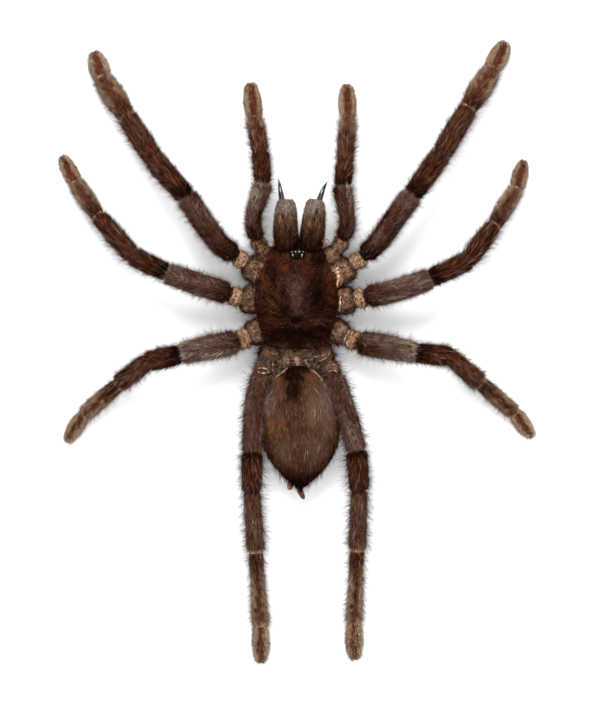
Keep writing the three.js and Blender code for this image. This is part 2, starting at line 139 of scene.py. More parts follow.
class Paint:
    """A material being made: its node tree, and the one method that adds a node to it."""

    def __init__(self, name, specular=0.02, coat=0.0):
        self.material = bpy.data.materials.new(name)
        self.material.use_nodes = True
        self.tree = self.material.node_tree
        self.shader = self.tree.nodes["Principled BSDF"]
        self.shader.inputs["Specular IOR Level"].default_value = specular
        self.shader.inputs["Coat Weight"].default_value = coat

    def node(self, kind, settings=None, inputs=None, output=0):
        made = self.tree.nodes.new(kind)
        for name, value in (settings or {}).items():
            if name == "stops":
                self.fill_ramp(made.color_ramp, value)
            else:
                setattr(made, name, value)
        for key, value in (inputs or {}).items():
            self.join(value, made.inputs[key])
        return Wire(self, made.outputs[output])

    def fill_ramp(self, ramp, stops):
        while len(ramp.elements) < len(stops):
            ramp.elements.new(0.5)
        for element, (place, color) in zip(ramp.elements, stops):
            element.position = place
            element.color = rgb(*color)

    def join(self, value, socket):
        if isinstance(value, Wire):
            self.tree.links.new(value.socket, socket)
        else:
            socket.default_value = value

    def mark(self, name, output="Fac"):
        """The number that a mesh stores under this name at each of its points, or its vector."""
        return self.node("ShaderNodeAttribute", {"attribute_name": name}, output=output)

    def noise(self, place, scale, detail=3.0, roughness=0.6):
        """Cloudy noise from 0 to 1, with features of about 1 / scale. place is a wire, the name of a stored
        vector, or None for the place in the object, in metres."""
        if place is None:
            place = self.node("ShaderNodeTexCoord", output="Object")
        elif isinstance(place, str):
            place = self.mark(place, "Vector")
        inputs = {"Vector": place, "Scale": scale, "Detail": detail, "Roughness": roughness}
        return self.node("ShaderNodeTexNoise", {}, inputs, "Fac")

    def mix(self, factor, under, over):
        """The colour `under` where factor is 0 and `over` where it is 1."""
        under, over = (rgb(*color) if isinstance(color, tuple) else color for color in (under, over))
        return self.node("ShaderNodeMix", {"data_type": "RGBA"}, {0: factor, 6: under, 7: over}, 2)

    def layers(self, color, *rows):
        """A colour with others laid over it, each row being (mark, share, colour)."""
        for name, share, over in rows:
            color = self.mix(self.mark(name) * share, color, over)
        return color

    def finish(self, color, roughness, height, depth):
        """Joins colour and roughness, and a bump of `depth` mm over a height from 0 to 1."""
        self.join(color, self.shader.inputs["Base Color"])
        self.join(roughness, self.shader.inputs["Roughness"])
        bump = self.node("ShaderNodeBump", {}, {"Height": height, "Strength": 1.0, "Distance": depth * MM})
        self.join(bump, self.shader.inputs["Normal"])
        return self.material


# %% Ground
BOARD_HALF, BOARD_BELOW = 600, 0.02  # a sheet of board over a metre across, just below the feet
BOARD_WHITES = (0.88, 0.88, 0.89, 1), (0.93, 0.93, 0.93, 1)  # linear values that the grain runs between


def ground():
    """A sheet of white board with a faint grain."""
    corners = np.array([(-1, -1, 0), (1, -1, 0), (1, 1, 0), (-1, 1, 0)]) * BOARD_HALF * MM
    mesh = bpy.data.meshes.new("ground")
    mesh.from_pydata((corners - (0, 0, BOARD_BELOW * MM)).tolist(), [], [(0, 1, 2, 3)])
    board = bpy.data.objects.new("ground", mesh)
    bpy.context.collection.objects.link(board)
    paint = Paint("white_board", specular=0.1)
    grain = paint.noise(None, 900.0)
    low, high = BOARD_WHITES
    tone = paint.node("ShaderNodeMix", {"data_type": "RGBA"}, {0: grain, 6: low, 7: high}, 2)
    mesh.materials.append(paint.finish(tone, 0.9, grain, 0.01))
    return board


print("ground:", ground().name)

# %% [markdown]
# ## Surfaces from arrays
#
# Every piece is a skin over a grid: ring r, point k. A ring closes on itself, and a single point closes each
# end. The faces are worked out as whole arrays. The grid also gives each piece its own texture map, with the
# way round as u and the way along as v.


# %% From a grid to a mesh
def mesh_piece(name, points, faces, maps, marks, material, slot, replaced=()):
    """A piece of the animal. points is (n, 3) in mm, faces and maps are lists of (m, corners) and
    (m, corners, 2) arrays, and marks holds a number or a vector for each point under each name."""
    mesh = bpy.data.meshes.new(name)
    corners = np.concatenate([f.ravel() for f in faces])
    sizes = np.concatenate([np.full(len(f), f.shape[1]) for f in faces])
    mesh.vertices.add(len(points))
    mesh.vertices.foreach_set("co", (points * MM).ravel())
    mesh.loops.add(len(corners))
    mesh.loops.foreach_set("vertex_index", corners)
    mesh.polygons.add(len(sizes))
    mesh.polygons.foreach_set("loop_start", np.cumsum(sizes) - sizes)
    mesh.polygons.foreach_set("loop_total", sizes)
    mesh.polygons.foreach_set("use_smooth", np.ones(len(sizes), bool))
    uv = mesh.uv_layers.new(name="OFBake")
    uv.data.foreach_set("uv", np.concatenate([m.reshape(-1, 2) for m in maps]).ravel())
    for mark, values in marks.items():
        kind, key = ("FLOAT_VECTOR", "vector") if values.ndim == 2 else ("FLOAT", "value")
        mesh.attributes.new(mark, kind, "POINT").data.foreach_set(key, values.ravel())
    mesh.materials.append(material)
    mesh.update(calc_edges=True)
    piece = bpy.data.objects.new(name, mesh)
    bpy.context.collection.objects.link(piece)
    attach(piece, "root")
    if replaced:
        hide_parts(*replaced)
    print(f"{name}: {int((sizes - 2).sum())} triangles")


def skin(grid, marks=None):
    """The closed skin over grid[ring, point]: the four-sided faces between rings and a fan at either end,
    turned over if the volume inside them comes out negative."""
    rows, cols = grid.shape[:2]
    points = np.vstack([grid.reshape(-1, 3), grid[0].mean(0), grid[-1].mean(0)])
    r, k = np.mgrid[0:rows - 1, 0:cols]
    n = (k + 1) % cols
    quads = np.stack([r * cols + k, r * cols + n, (r + 1) * cols + n, (r + 1) * cols + k], -1)
    quad_map = np.stack([np.stack([k, k + 1, k + 1, k], -1) / cols,
                         np.stack([r + 1, r + 1, r + 2, r + 2], -1) / (rows + 1)], -1)
    k, n = k[0], n[0]
    first, last = rows * cols, rows * cols + 1
    fans = [np.stack([np.full(cols, first), n, k], -1),
            np.stack([np.full(cols, last), (rows - 1) * cols + k, (rows - 1) * cols + n], -1)]
    ends = [(0, 1 / (rows + 1), (1, 0)), (1, rows / (rows + 1), (0, 1))]
    fan_maps = [np.stack([np.stack([k + 0.5, k + a, k + b], -1) / cols,
                          np.tile([pole, edge, edge], (cols, 1))], -1) for pole, edge, (a, b) in ends]
    faces = [quads.reshape(-1, 4), *fans]
    maps = [quad_map.reshape(-1, 4, 2), *fan_maps]
    a, b, c = (points[faces[0][:, i]] for i in (0, 1, 2))
    if (np.cross(b - a, c - a) * (a - points.mean(0))).sum() < 0:
        faces = [f[:, ::-1] for f in faces]
        maps = [m[:, ::-1] for m in maps]
    values = {}
    for name, mark in (marks or {}).items():
        poles = [mark[end].reshape(cols, -1).mean(0) for end in (0, -1)]
        stacked = np.vstack([mark.reshape(rows * cols, -1), *poles])
        values[name] = stacked[:, 0] if mark.ndim == 2 else stacked
    return points, faces, maps, values


def joined(skins):
    """Several skins as the arrays of one mesh."""
    points = np.vstack([s[0] for s in skins])
    shifts = np.cumsum([0] + [len(s[0]) for s in skins])[:-1]
    faces = [f + shift for s, shift in zip(skins, shifts) for f in s[1]]
    maps = [m for s in skins for m in s[2]]
    marks = {name: np.concatenate([s[3][name] for s in skins]) for name in skins[0][3]}
    return points, faces, maps, marks


# %% [markdown]
# ## A few shapes in one dimension
#
# Masks and bumps are made of the same few functions: a bell, a smooth step, a soft patch, and lumps, which are
# the sum of waves that run in random directions from a fixed seed.


# %% Bells, steps and lumps
def bell(distance, width):
    """exp(-(distance / width)^2)."""
    return np.exp(-((distance / width) ** 2))


def step(low, high, value):
    """0 below low, 1 above high, and 3t^2 - 2t^3 between them."""
    t = np.clip((value - low) / (high - low), 0, 1)
    return t * t * (3 - 2 * t)


def highest(*values):
    """The highest of several arrays at each point."""
    return np.max(np.broadcast_arrays(*values), axis=0)


def patches(x, y, spots):
    """The highest of several round patches, each (middle x, middle y, reach in x, reach in y)."""
    return highest(*[np.exp(-(((x - cx) / rx) ** 2) - ((y - cy) / ry) ** 2) for cx, cy, rx, ry in spots])


def unit(vectors, least=0.0):
    """Vectors divided by their length, to which `least` is added where it might be nothing."""
    return vectors / (np.linalg.norm(vectors, axis=-1, keepdims=True) + least)


def lumps(points, size, seed, waves=24):
    """Lumps about `size` across, from about -1 to 1: the sum of cos(k.p + phase) over waves whose length is
    near `size` and whose directions are random."""
    random = np.random.default_rng(seed)
    k = random.normal(size=(waves, 3))
    k *= 2 * np.pi / size * random.uniform(0.7, 1.3, (waves, 1)) / np.linalg.norm(k, axis=1, keepdims=True)
    phase = random.uniform(0, 2 * np.pi, waves)
    return np.cos(points @ k.T + phase).sum(-1) * np.sqrt(1.0 / waves)


def softened(curve, s, reach):
    """The mean of a curve at five places spread over `reach` either way of s."""
    return sum(curve(s + share * reach) for share in (-1, -0.5, 0, 0.5, 1)) / 5


def rings(centre, ahead, half, tall, cols, power=1.0):
    """Rings across a path: half cos(a) level and tall sin(a) up. A power under 1 makes a ring squarer. Returns
    the rings, the way outwards at each of their points, and cos(a) and sin(a)."""
    across = unit(np.stack([-ahead[:, 1], ahead[:, 0], 0 * ahead[:, 0]], -1))
    up = np.cross(ahead, across)
    a = 2 * np.pi * np.arange(cols) / cols - np.pi / 2
    side, rise = (np.sign(v) * np.abs(v) ** power for v in (np.cos(a), np.sin(a)))
    out = across[:, None] * side[None, :, None] + up[:, None] * rise[None, :, None]
    grid = (centre[:, None] + across[:, None] * (half[:, None] * side)[..., None]
            + up[:, None] * (tall[:, None] * rise)[..., None])
    return grid, out, side, rise


def tube(centre, half, tall, cols, power=1.0):
    """Rings across a path whose direction is taken from its own points, and the way outwards."""
    return rings(centre, unit(np.gradient(centre, axis=0)), half, tall, cols, power)[:2]


print("a step at its middle:", step(0, 1, 0.5))

# %% [markdown]
# ## The limbs
#
# Each limb is one tube of seven segments, or six on the short pair of palps beside the jaws. Its middle line
# runs straight from joint to joint with softened corners. A ring across it is an ellipse whose width rises
# from a narrow waist at each joint. A tube is chosen rather than seven separate segments because the skin of
# the real limb is one, and only folds in at the joints.

# %% Limb sizes
LEG_SEGMENTS = {"coxa": (0, 1), "trochanter": (1, 2), "femur": (2, 5), "patella": (5, 6), "tibia": (6, 7),
                "metatarsus": (7, 8), "tarsus": (8, 9)}
PALP_SEGMENTS = {"coxa": (0, 1), "trochanter": (1, 2), "femur": (2, 5), "patella": (5, 6), "tibia": (6, 7),
                 "tarsus": (7, 8)}
JOINT_HEIGHTS = {
    "palp": [3.9, 4.7, 6.0, 7.4, 8.6, 9.0, 8.0, 4.4, 1.6],
    "leg_1": [3.8, 4.7, 6.1, 8.2, 9.8, 11.0, 9.4, 5.4, 2.2, 0.8],
    "leg_2": [3.8, 4.7, 6.0, 7.9, 9.4, 10.2, 9.0, 5.0, 1.9, 0.6],
    "leg_3": [3.8, 4.7, 5.9, 7.7, 9.0, 9.8, 8.9, 5.0, 1.9, 0.6],
    "leg_4": [3.8, 4.7, 6.0, 7.6, 8.6, 9.2, 8.4, 4.9, 2.1, 0.8],
}
WIDTHS = {  # full widths near the start, at the middle and near the end of each segment
    "palp": [(3.0, 3.9, 3.8), (3.2, 3.6, 3.2), (3.1, 3.1, 3.7), (3.3, 3.6, 3.6), (3.4, 3.5, 3.3),
             (3.5, 3.9, 2.7)],
    "leg_1": [(3.2, 5.0, 5.0), (3.3, 3.5, 3.3), (3.9, 4.2, 4.3), (4.0, 4.3, 4.3), (4.1, 4.2, 4.0),
              (3.9, 4.9, 4.0), (4.2, 4.3, 2.8)],
    "leg_2": [(3.2, 5.2, 5.4), (3.6, 3.9, 3.6), (4.4, 4.3, 4.1), (3.8, 3.9, 4.0), (3.7, 3.8, 3.3),
              (3.2, 3.7, 3.3), (3.3, 3.4, 2.2)],
    "leg_3": [(3.0, 4.7, 4.8), (4.0, 4.2, 4.0), (4.7, 4.8, 4.1), (3.9, 4.3, 4.1), (3.6, 3.8, 3.8),
              (3.2, 3.4, 3.3), (3.3, 3.5, 2.3)],
    "leg_4": [(3.0, 4.2, 4.2), (3.9, 4.1, 3.9), (4.0, 4.0, 3.9), (4.2, 4.3, 4.0), (3.4, 3.4, 3.6),
              (3.0, 2.9, 3.6), (3.3, 3.9, 2.7)],
}
DEPTHS = {"coxa": 1.1, "trochanter": 1.05, "femur": 1.12, "patella": 1.0, "tibia": 1.0, "metatarsus": 0.88,
          "tarsus": 0.8}
LIMBS = {  # joint places from the body outwards
    "palp_left": [(-3.2, 17.5), (-7.8, 22.2), (-8.8, 24.7), (-9.7, 27.6), (-9.3, 30.8), (-7.4, 36.3),
                  (-8.0, 43.3), (-9.4, 51.0), (-10.3, 59.2)],
    "palp_right": [(2.9, 17.5), (8.6, 22.2), (9.9, 24.8), (10.9, 27.6), (10.5, 30.8), (9.7, 35.8),
                   (10.3, 41.0), (11.0, 51.0), (10.8, 58.9)],
    "leg_1_left": [(-4.2, 14.4), (-11.2, 19.4), (-13.6, 21.1), (-16.9, 23.3), (-20.2, 27.8), (-23.8, 33.3),
                   (-31.0, 41.6), (-37.1, 51.2), (-42.8, 60.1), (-44.8, 66.2)],
    "leg_1_right": [(3.8, 14.4), (11.9, 18.9), (14.5, 21.0), (17.7, 24.0), (20.8, 28.5), (24.6, 33.7),
                    (31.0, 42.6), (37.1, 52.9), (42.7, 62.1), (45.9, 68.3)],
    "leg_2_left": [(-4.5, 11.2), (-12.3, 11.6), (-14.9, 12.7), (-19.3, 14.0), (-23.7, 15.5), (-28.1, 17.0),
                   (-35.6, 20.8), (-43.4, 29.6), (-48.6, 37.2), (-51.9, 43.3)],
    "leg_2_right": [(4.3, 11.0), (12.5, 11.4), (15.1, 12.0), (19.6, 12.9), (24.1, 14.2), (28.5, 15.8),
                    (36.8, 19.7), (42.8, 27.6), (48.0, 35.8), (49.8, 42.3)],
    "leg_3_left": [(-4.5, 7.2), (-10.8, 3.3), (-13.2, 2.3), (-17.2, 1.4), (-21.1, 0.6), (-25.0, -0.4),
                   (-32.4, -2.0), (-39.0, -7.0), (-46.8, -13.8), (-50.9, -19.8)],
    "leg_3_right": [(4.0, 7.4), (10.6, 3.3), (13.4, 2.1), (17.4, 1.4), (21.4, 0.8), (25.4, -0.2),
                    (33.0, -0.9), (39.8, -6.7), (47.6, -13.3), (51.7, -18.8)],
    "leg_4_left": [(-3.2, 4.2), (-6.9, -2.1), (-7.8, -4.7), (-9.1, -10.3), (-9.6, -15.8), (-9.8, -21.4),
                   (-9.9, -30.1), (-9.1, -43.3), (-8.1, -59.7), (-8.0, -68.4)],
    "leg_4_right": [(2.7, 4.4), (6.6, -2.6), (7.9, -5.0), (9.6, -10.4), (11.3, -15.7), (12.8, -21.1),
                    (13.4, -29.8), (13.0, -43.0), (12.4, -59.1), (12.5, -67.7)],
}
JOINT_WAIST = 0.8  # width at a joint as a share of the narrower segment's end
SOFTENING = 1.1  # the middle line turns its corners over this length either way
RISE, RIM = 1.1, 0.35  # a segment widens over RISE after a joint, and closes over RIM before the next
BALLS = ("leg_1", "leg_2")  # on these the trochanter is a ball between two creases
BALL_PLACES = (0, 0.06, 0.16, 0.32, 0.5, 0.68, 0.84, 0.94)
BALL_SIZES = (0.6, 0.72, 0.9, 1.06, 1.1, 1.06, 0.9, 0.72)
COXA_SWELL = 1.1  # loose skin makes the first segment stouter than its solid
STATION, AROUND = 0.2, 48  # length between rings, and points in a ring
TIP_LENGTH, TIP_NOTCH = 1.8, 0.75  # the last stretch closes round, and is parted into two lobes
print("limbs:", len(LIMBS))


# %% Limb shape
def kind_of(name):
    return name.rsplit("_", 1)[0]


def middle_line(name):
    """Joint marks along a limb and the curve over them: straight between joints, and beyond both ends."""
    joints = np.column_stack([LIMBS[name], JOINT_HEIGHTS[kind_of(name)]])
    marks = np.concatenate([[0], np.cumsum(np.linalg.norm(np.diff(joints, axis=0), axis=1))])
    longer = np.vstack([2 * joints[0] - joints[1], joints, 2 * joints[-1] - joints[-2]])
    places = np.concatenate([[2 * marks[0] - marks[1]], marks, [2 * marks[-1] - marks[-2]]])
    return marks, lambda s: np.stack([np.interp(s, places, longer[:, axis]) for axis in range(3)], -1)


def limb_widths(name, marks):
    """Full width along a limb, and the depth as a share of it. Each segment starts at the joint's waist,
    reaches its first width after RISE, holds its last width until RIM before the next joint, and drops."""
    kind = kind_of(name)
    segments = PALP_SEGMENTS if kind == "palp" else LEG_SEGMENTS
    spans = [(marks[a], marks[b]) for a, b in segments.values()]
    places, widths = [], []
    for n, ((start, end), (first, middle, last), segment) in enumerate(zip(spans, WIDTHS[kind], segments)):
        before = WIDTHS[kind][n - 1][2] if n else first
        waist = JOINT_WAIST * min(first, before)
        shares = [0, 0.45 * RISE, RISE, (end - start) / 2, end - start - 2.2 * RIM, end - start - RIM]
        sizes = [waist, 0.5 * (waist + first) * 1.03, first, middle, last, last * 0.99]
        if segment == "trochanter" and kind in BALLS:
            shares = [share * (end - start) for share in BALL_PLACES]
            sizes = [size * middle for size in BALL_SIZES]
        elif segment == "coxa":
            shares = shares[:4] + [end - start + share for share in (-1.6, -0.8, -0.3)]
            sizes = [COXA_SWELL * size for size in sizes[:4] + [last, 0.93 * last, 0.76 * last]]
        places += [start + share for share in shares]
        widths += sizes
    places.append(spans[-1][1])
    widths.append(last * 0.7)
    middles = [(a + b) / 2 for a, b in spans]
    depths = [DEPTHS[segment] for segment in segments]
    return (lambda s: np.interp(s, places, widths)), (lambda s: np.interp(s, middles, depths)), spans


def limb(name):
    """The surface of a limb: centre(s) + across w/2 cos(a) + up w/2 depth sin(a), a = 0 on the level side.
    Returns the grid, and for each of its points the segment, the places along it and the way round."""
    marks, line = middle_line(name)
    width, depth, spans = limb_widths(name, marks)
    total = marks[-1]
    s = np.linspace(0.02, total, int(total / STATION))
    centre = softened(line, s, SOFTENING)
    ahead = unit(softened(line, s + 0.2, SOFTENING) - softened(line, s - 0.2, SOFTENING))
    tip = np.clip((s - (total - TIP_LENGTH)) / TIP_LENGTH, 0, 1)
    closing = np.sqrt(1 - tip ** 3)
    half = softened(width, s, 0.22) / 2 * np.maximum(closing, 0.5)
    tall = half * depth(s) * np.maximum(closing, 0.12)
    grid, out, side, rise = rings(centre, ahead, half, tall, AROUND)
    notch = TIP_NOTCH * (tip ** 2)[:, None] * (1 - np.abs(side)) ** 1.5
    grid = grid - ahead[:, None] * notch[..., None]
    names = np.array(list(PALP_SEGMENTS if kind_of(name) == "palp" else LEG_SEGMENTS))
    index = np.clip(np.searchsorted([a for a, _ in spans], s) - 1, 0, len(names) - 1)
    start, end = np.array(spans)[index].T
    columns = {"s": s, "t": (s - start) / (end - start), "from_start": s - start, "to_end": end - s,
               "half": half, "tip": tip, "segment": names[index]}
    facts = {key: np.repeat(column[:, None], AROUND, axis=1) for key, column in columns.items()}
    facts.update(side=side + 0 * s[:, None], rise=rise + 0 * s[:, None])
    return grid, out, ahead, facts


# %% [markdown]
# ## What covers a limb
#
# The skin of the thighs is under a grey-mauve pile. Knees and shins are bare and red-brown with pale streaks.
# The last two segments carry a dense olive-tan pad of hair on both sides, and the tarsus shows a rusty stripe
# between its pads. The joints are soft cream skin. These are masks, one number for each point of the grid. The
# dark mask also holds painted shade under the limbs and on the sides of the coxae.

# %% Masks of a limb
FOLDS = {"leg_3": (1.05, 1.5)}  # spacing of the trochanter's folds, and how far they reach
TAN = {"palp": 0.85, "leg_1": 1.0, "leg_2": 1.0, "leg_3": 0.9, "leg_4": 0.3}  # how tan the first segments are
JOINT_CREASE = 0.22  # how much deeper the skin folds in at a joint than the solid does
MARK_NAMES = ("pile", "pad", "rust", "tan", "dark", "cream", "ball")


def limb_masks(name, facts, fibre):
    """pile, pad, rust, tan, dark, cream, ball and fold as numbers from 0 to 1 over the grid of a limb. dark
    is dark skin, and also painted shade under the limb and on the level sides of the coxa.
    """
    kind, t, tip, rise = kind_of(name), facts["t"], facts["tip"], facts["rise"]
    side, top = np.abs(facts["side"]), rise > 0
    begun, left = facts["from_start"], facts["to_end"]
    outward = facts["side"] if name.endswith("left") else -facts["side"]
    coxa, neck, femur, patella, tibia, shank, last = (facts["segment"] == key for key in LEG_SEGMENTS)
    foot = shank | last
    palp, late = kind == "palp", kind in ("leg_3", "leg_4")
    if palp:
        shank = tibia & (t > 0.62)
    streak = lumps(fibre * (0.2, 1, 1), 0.9, 3)
    cloud = lumps(fibre, 1.7, 4)
    pile = femur * (0.5 + 0.5 * step(0.1, 0.8, t)) * (0.75 + 0.25 * streak)
    pile = pile + patella * 0.35 * step(0.6, 0.95, t) + (coxa | neck) * 0.8 * (kind == "leg_4")
    if palp:
        pile *= 0.25 + 0.75 * step(-0.5, 0.5, outward)
    pad = highest(shank * step(0.1, 0.85, side + 0.2 * cloud) * step(0.1, 0.5, t),
                  last * step(0.2, 0.7, side + 0.1 * cloud), last * tip ** 2)
    stripe, bare = (0.5, 0.25) if late else (1.0, 0.6)
    rust = last * stripe * (1 - step(0.12, 0.5, side + 0.08 * cloud)) * (1 - step(0.55, 0.95, t))
    rust = np.maximum(rust, bare * shank * (1 - step(0.2, 0.8, side)) * step(0.1, 0.5, t)) * top
    ball = neck * (1.0 if kind in BALLS else 0.0)
    knee = 2.2 if kind in ("palp", "leg_4") else 4.2
    crease = 1 - step(0.0, 0.35, np.minimum(begun, left))
    dark = highest(patella * (1 - step(0.5, knee, begun + 0.3 * streak)),
                   0.8 * femur * (1 - step(1.0, 6.5, begun + 0.5 * streak)) * top * (kind != "leg_4"),
                   0.45 * patella * step(0.0, 0.8, cloud),
                   0.6 * shank * (1 - step(0.08, 0.5, t)) * (1 - step(0.4, 0.95, side)),
                   0.6 * femur * (1 - step(-0.8, -0.1, outward)) * palp,
                   # painted shade: the underside is darkened on all but the last two segments
                   0.7 * step(0.25, 0.95, -rise) * ~foot,
                   0.8 * last * bell(side, 0.45) * step(0.45, 0.9, tip),
                   (ball * 0.9 + neck * 0.5) * crease,
                   # painted shade: the coxa is darkened on its level sides, where it meets its neighbours
                   0.8 * coxa * step(0.6, 0.98, side + 0.15 * cloud))
    broken = step(-0.6, 0.8, cloud)
    rim, sides = (1.0, 1) if kind == "leg_4" else (0.75, step(0.3, 0.75, side))
    cream = (last * 0.5 * bell(begun, 0.3) + shank * rim * bell(left, 0.38)) * broken * step(-0.2, 0.2, rise)
    knuckle = tibia * bell(left, 0.45) + shank * bell(begun, 0.3)
    spacing, reach = FOLDS.get(kind, (1, 0))
    across = (begun - left) / 2 + 0.45 * side ** 2 + 0.14 * cloud
    fold = neck * (0.5 + 0.5 * np.cos(2 * np.pi * across / spacing)) * (np.abs(across) < reach)
    cream = highest(cream, 0.8 * knuckle * sides * (rise > -0.2) * (not palp),
                    0.9 * fold ** 4 * step(0.0, 0.5, rise) * (0.35 + 0.65 * broken))
    return {"pile": pile, "pad": pad, "rust": rust, "tan": (coxa | neck) * TAN[kind], "dark": dark,
            "cream": cream, "ball": ball, "fold": fold}


def limb_surface(name, seed):
    """A limb's grid with its relief: crinkles on the soft tan segments, folds, long flutes and small lumps."""
    grid, out, ahead, facts = limb(name)
    fibre = np.stack([facts["s"], facts["side"] * facts["half"], facts["rise"] * facts["half"]], -1)
    masks = limb_masks(name, facts, fibre)
    soft, top = step(0.1, 0.5, masks["tan"]), facts["rise"] > 0
    crinkle = 0.12 * lumps(grid, 1.6, seed) + (0.05 + 0.07 * masks["ball"]) * lumps(grid, 0.7, seed + 1)
    relief = soft * crinkle + 0.2 * masks["fold"] * top
    flesh = 0.05 * lumps(grid, 2.6, seed + 2) + 0.03 * lumps(fibre * (0.15, 1, 1), 0.6, seed + 3)
    relief = relief + (1 - soft) * flesh
    flute = bell(np.abs(facts["side"]) - 0.34, 0.1) * top
    bare = (facts["segment"] == "patella") | (facts["segment"] == "tibia")
    relief = relief - 0.07 * flute * bare * step(0.08, 0.3, facts["t"])
    crease = bell(np.minimum(facts["from_start"], facts["to_end"] + 0.15), 0.35)
    relief = (relief - JOINT_CREASE * (1 - soft) * crease) * step(0, 0.3, 1 - facts["tip"])
    grid = grid + out * relief[..., None]
    grid[..., 2] = np.maximum(grid[..., 2], 0)
    facts["fibre"] = fibre + 37.0 * seed
    marks = {**{key: masks[key] for key in MARK_NAMES}, "fibre": facts["fibre"]}
    return (grid, out, ahead, facts, masks), marks


# %% Skin of the limbs
def limb_skin():
    """Streaks follow the limb: the noise is read on `fibre`, which is stretched along the limb."""
    paint = Paint("limb_skin")
    fibre = paint.mark("fibre", "Vector")
    long, combed = (paint.node("ShaderNodeVectorMath", {"operation": "MULTIPLY"}, {0: fibre, 1: stretch})
                    for stretch in ((0.4, 4.0, 4.0), (0.7, 3, 3)))
    streak = paint.noise(long, 1.0, 4.0, 0.65)
    fine = paint.noise(fibre, 6.0, 3.0, 0.7)
    cloud = paint.noise(fibre, 0.6, 2.0)
    horn = paint.mix(streak.step(0.35, 0.65), (14, 5, 3), (100, 48, 27))
    horn = paint.mix((streak * cloud).step(0.3, 0.42) * 0.6, horn, (158, 112, 82))
    fleck = fine.step(0.35, 0.65)
    soft = (paint.noise(combed, 1.0) * 0.5 + cloud * 0.5).step(0.4, 0.6)
    balls = paint.mix(paint.noise(fibre, 2.2, 2.0).step(0.34, 0.62), (78, 42, 28), (210, 168, 134))
    soft = paint.layers(paint.mix(soft, (62, 36, 24), (172, 134, 102)), ("ball", 0.9, balls))
    color = paint.layers(
        horn,
        ("pile", 0.3 + streak.step(0.3, 0.7) * 0.6, paint.mix(fleck, (34, 23, 20), (112, 88, 78))),
        ("pad", 0.7 + fine * 0.4, paint.mix(fleck, (104, 74, 52), (180, 146, 112))),
        ("rust", 0.35 + streak.step(0.35, 0.6) * 0.6, paint.mix(fine, (56, 24, 15), (118, 58, 36))),
        # the dark layer is dark skin, and painted shade under the limbs and on the sides of the coxae
        ("tan", 1.0, soft), ("dark", 0.7 + streak * 0.4, (10, 5, 4)),
        ("cream", 0.6 + fine * 0.6, (216, 172, 132)))
    roughness = 0.75 + fine * 0.2 - streak.step(0.5, 0.8) * 0.15
    return paint.finish(color, roughness, streak * 0.7 + fine * 0.3, 0.12)


# %% Put the limbs in
LIMB_SKIN = limb_skin()
NODE_OF = {name: name.replace("palp", "pedipalp") for name in LIMBS}
coats = {}  # what the hair cells need: grid, directions, facts and masks of every limb
for seed, name in enumerate(LIMBS, 11):
    coats[name], marks = limb_surface(name, seed)
    mesh_piece(f"{NODE_OF[name]}_skin", *skin(coats[name][0], marks), LIMB_SKIN, "limbs", [NODE_OF[name]])

# %% [markdown]
# ## The shield, the trunk and the eyes
#
# The carapace is a low dome over a rounded outline. Its height is worked out over plan: a dome, a raised head
# between two grooves, a pit, and shallow furrows that run from the pit to the legs. Below the rim the same
# rings go on round the edge and down to the sternum, so shield and trunk are one closed skin.

# %% Shield sizes
BODY_X = -0.25
CARAPACE_FRONT, CARAPACE_REAR, CARAPACE_MIDDLE, CARAPACE_HALF = 22.6, 0.6, 10.4, 9.0
RIM_HEIGHT, TOP_HEIGHT = 7.9, 12.6
CARAPACE_OUTLINE = [(0.0, 0.46), (0.04, 0.655), (0.13, 0.73), (0.24, 0.845), (0.37, 0.94), (0.51, 1.0),
                    (0.66, 0.945), (0.81, 0.845), (0.92, 0.73), (0.985, 0.5)]
RIM_RINGS = [(1.008, 0.08), (1.014, 0.25), (1.01, 0.42), (0.99, 0.55), (0.93, 0.72), (0.84, 0.95),
             (0.72, 1.15)]  # share of the way out to the rim, and how far below it
TRUNK_RINGS = [(1.3, 6.2), (1.2, 4.6), (1.12, 3.2), (1.08, 2.6), (1.03, 2.0), (1.0, 1.7), (0.93, 1.4),
               (0.8, 1.22), (0.6, 1.2), (0.4, 1.2), (0.2, 1.2), (0.05, 1.2)]  # size and height
PIT_Y, HEAD_RISE = 6.9, 0.7
GROOVE_END = (4.8, 19.4)
STERNUM_Y, STERNUM_HALF, STERNUM_LONG = 10.6, 4.0, 5.4
FURROW_ANGLES = np.radians([48, 82, 112, 142])  # furrows either side, from straight ahead round to the tail
CARAPACE_SIDES, SHIELD_RINGS = 240, 84


# %% Shield outline and height
def carapace_outline():
    """A closed Catmull-Rom curve through the outline's points, put at even distances round."""
    length = CARAPACE_FRONT - CARAPACE_REAR
    right = np.array([(w * CARAPACE_HALF, CARAPACE_FRONT - t * length) for t, w in CARAPACE_OUTLINE])
    points = np.vstack([right, (right * (-1, 1))[::-1]])
    t = np.linspace(0, 1, 40, endpoint=False)[:, None]
    a, b, c, d = (np.roll(points, shift, axis=0)[:, None] for shift in (1, 0, -1, -2))
    curve = 0.5 * (2 * b + (c - a) * t + (2 * a - 5 * b + 4 * c - d) * t ** 2
                   + (3 * b - a - 3 * c + d) * t ** 3).reshape(-1, 2)
    closed = np.vstack([curve, curve[:1]])
    far = np.concatenate([[0], np.cumsum(np.linalg.norm(np.diff(closed, axis=0), axis=1))])
    even = np.linspace(0, far[-1], CARAPACE_SIDES, endpoint=False)
    return np.stack([np.interp(even, far, closed[:, axis]) for axis in (0, 1)], -1)


def distance_to_line(x, y, start, end):
    """Distance in plan from (x, y) to the straight piece from start to end."""
    run = np.subtract(end, start)
    share = np.clip(((x - start[0]) * run[0] + (y - start[1]) * run[1]) / (run @ run), 0, 1)
    return np.hypot(x - start[0] - share * run[0], y - start[1] - share * run[1])


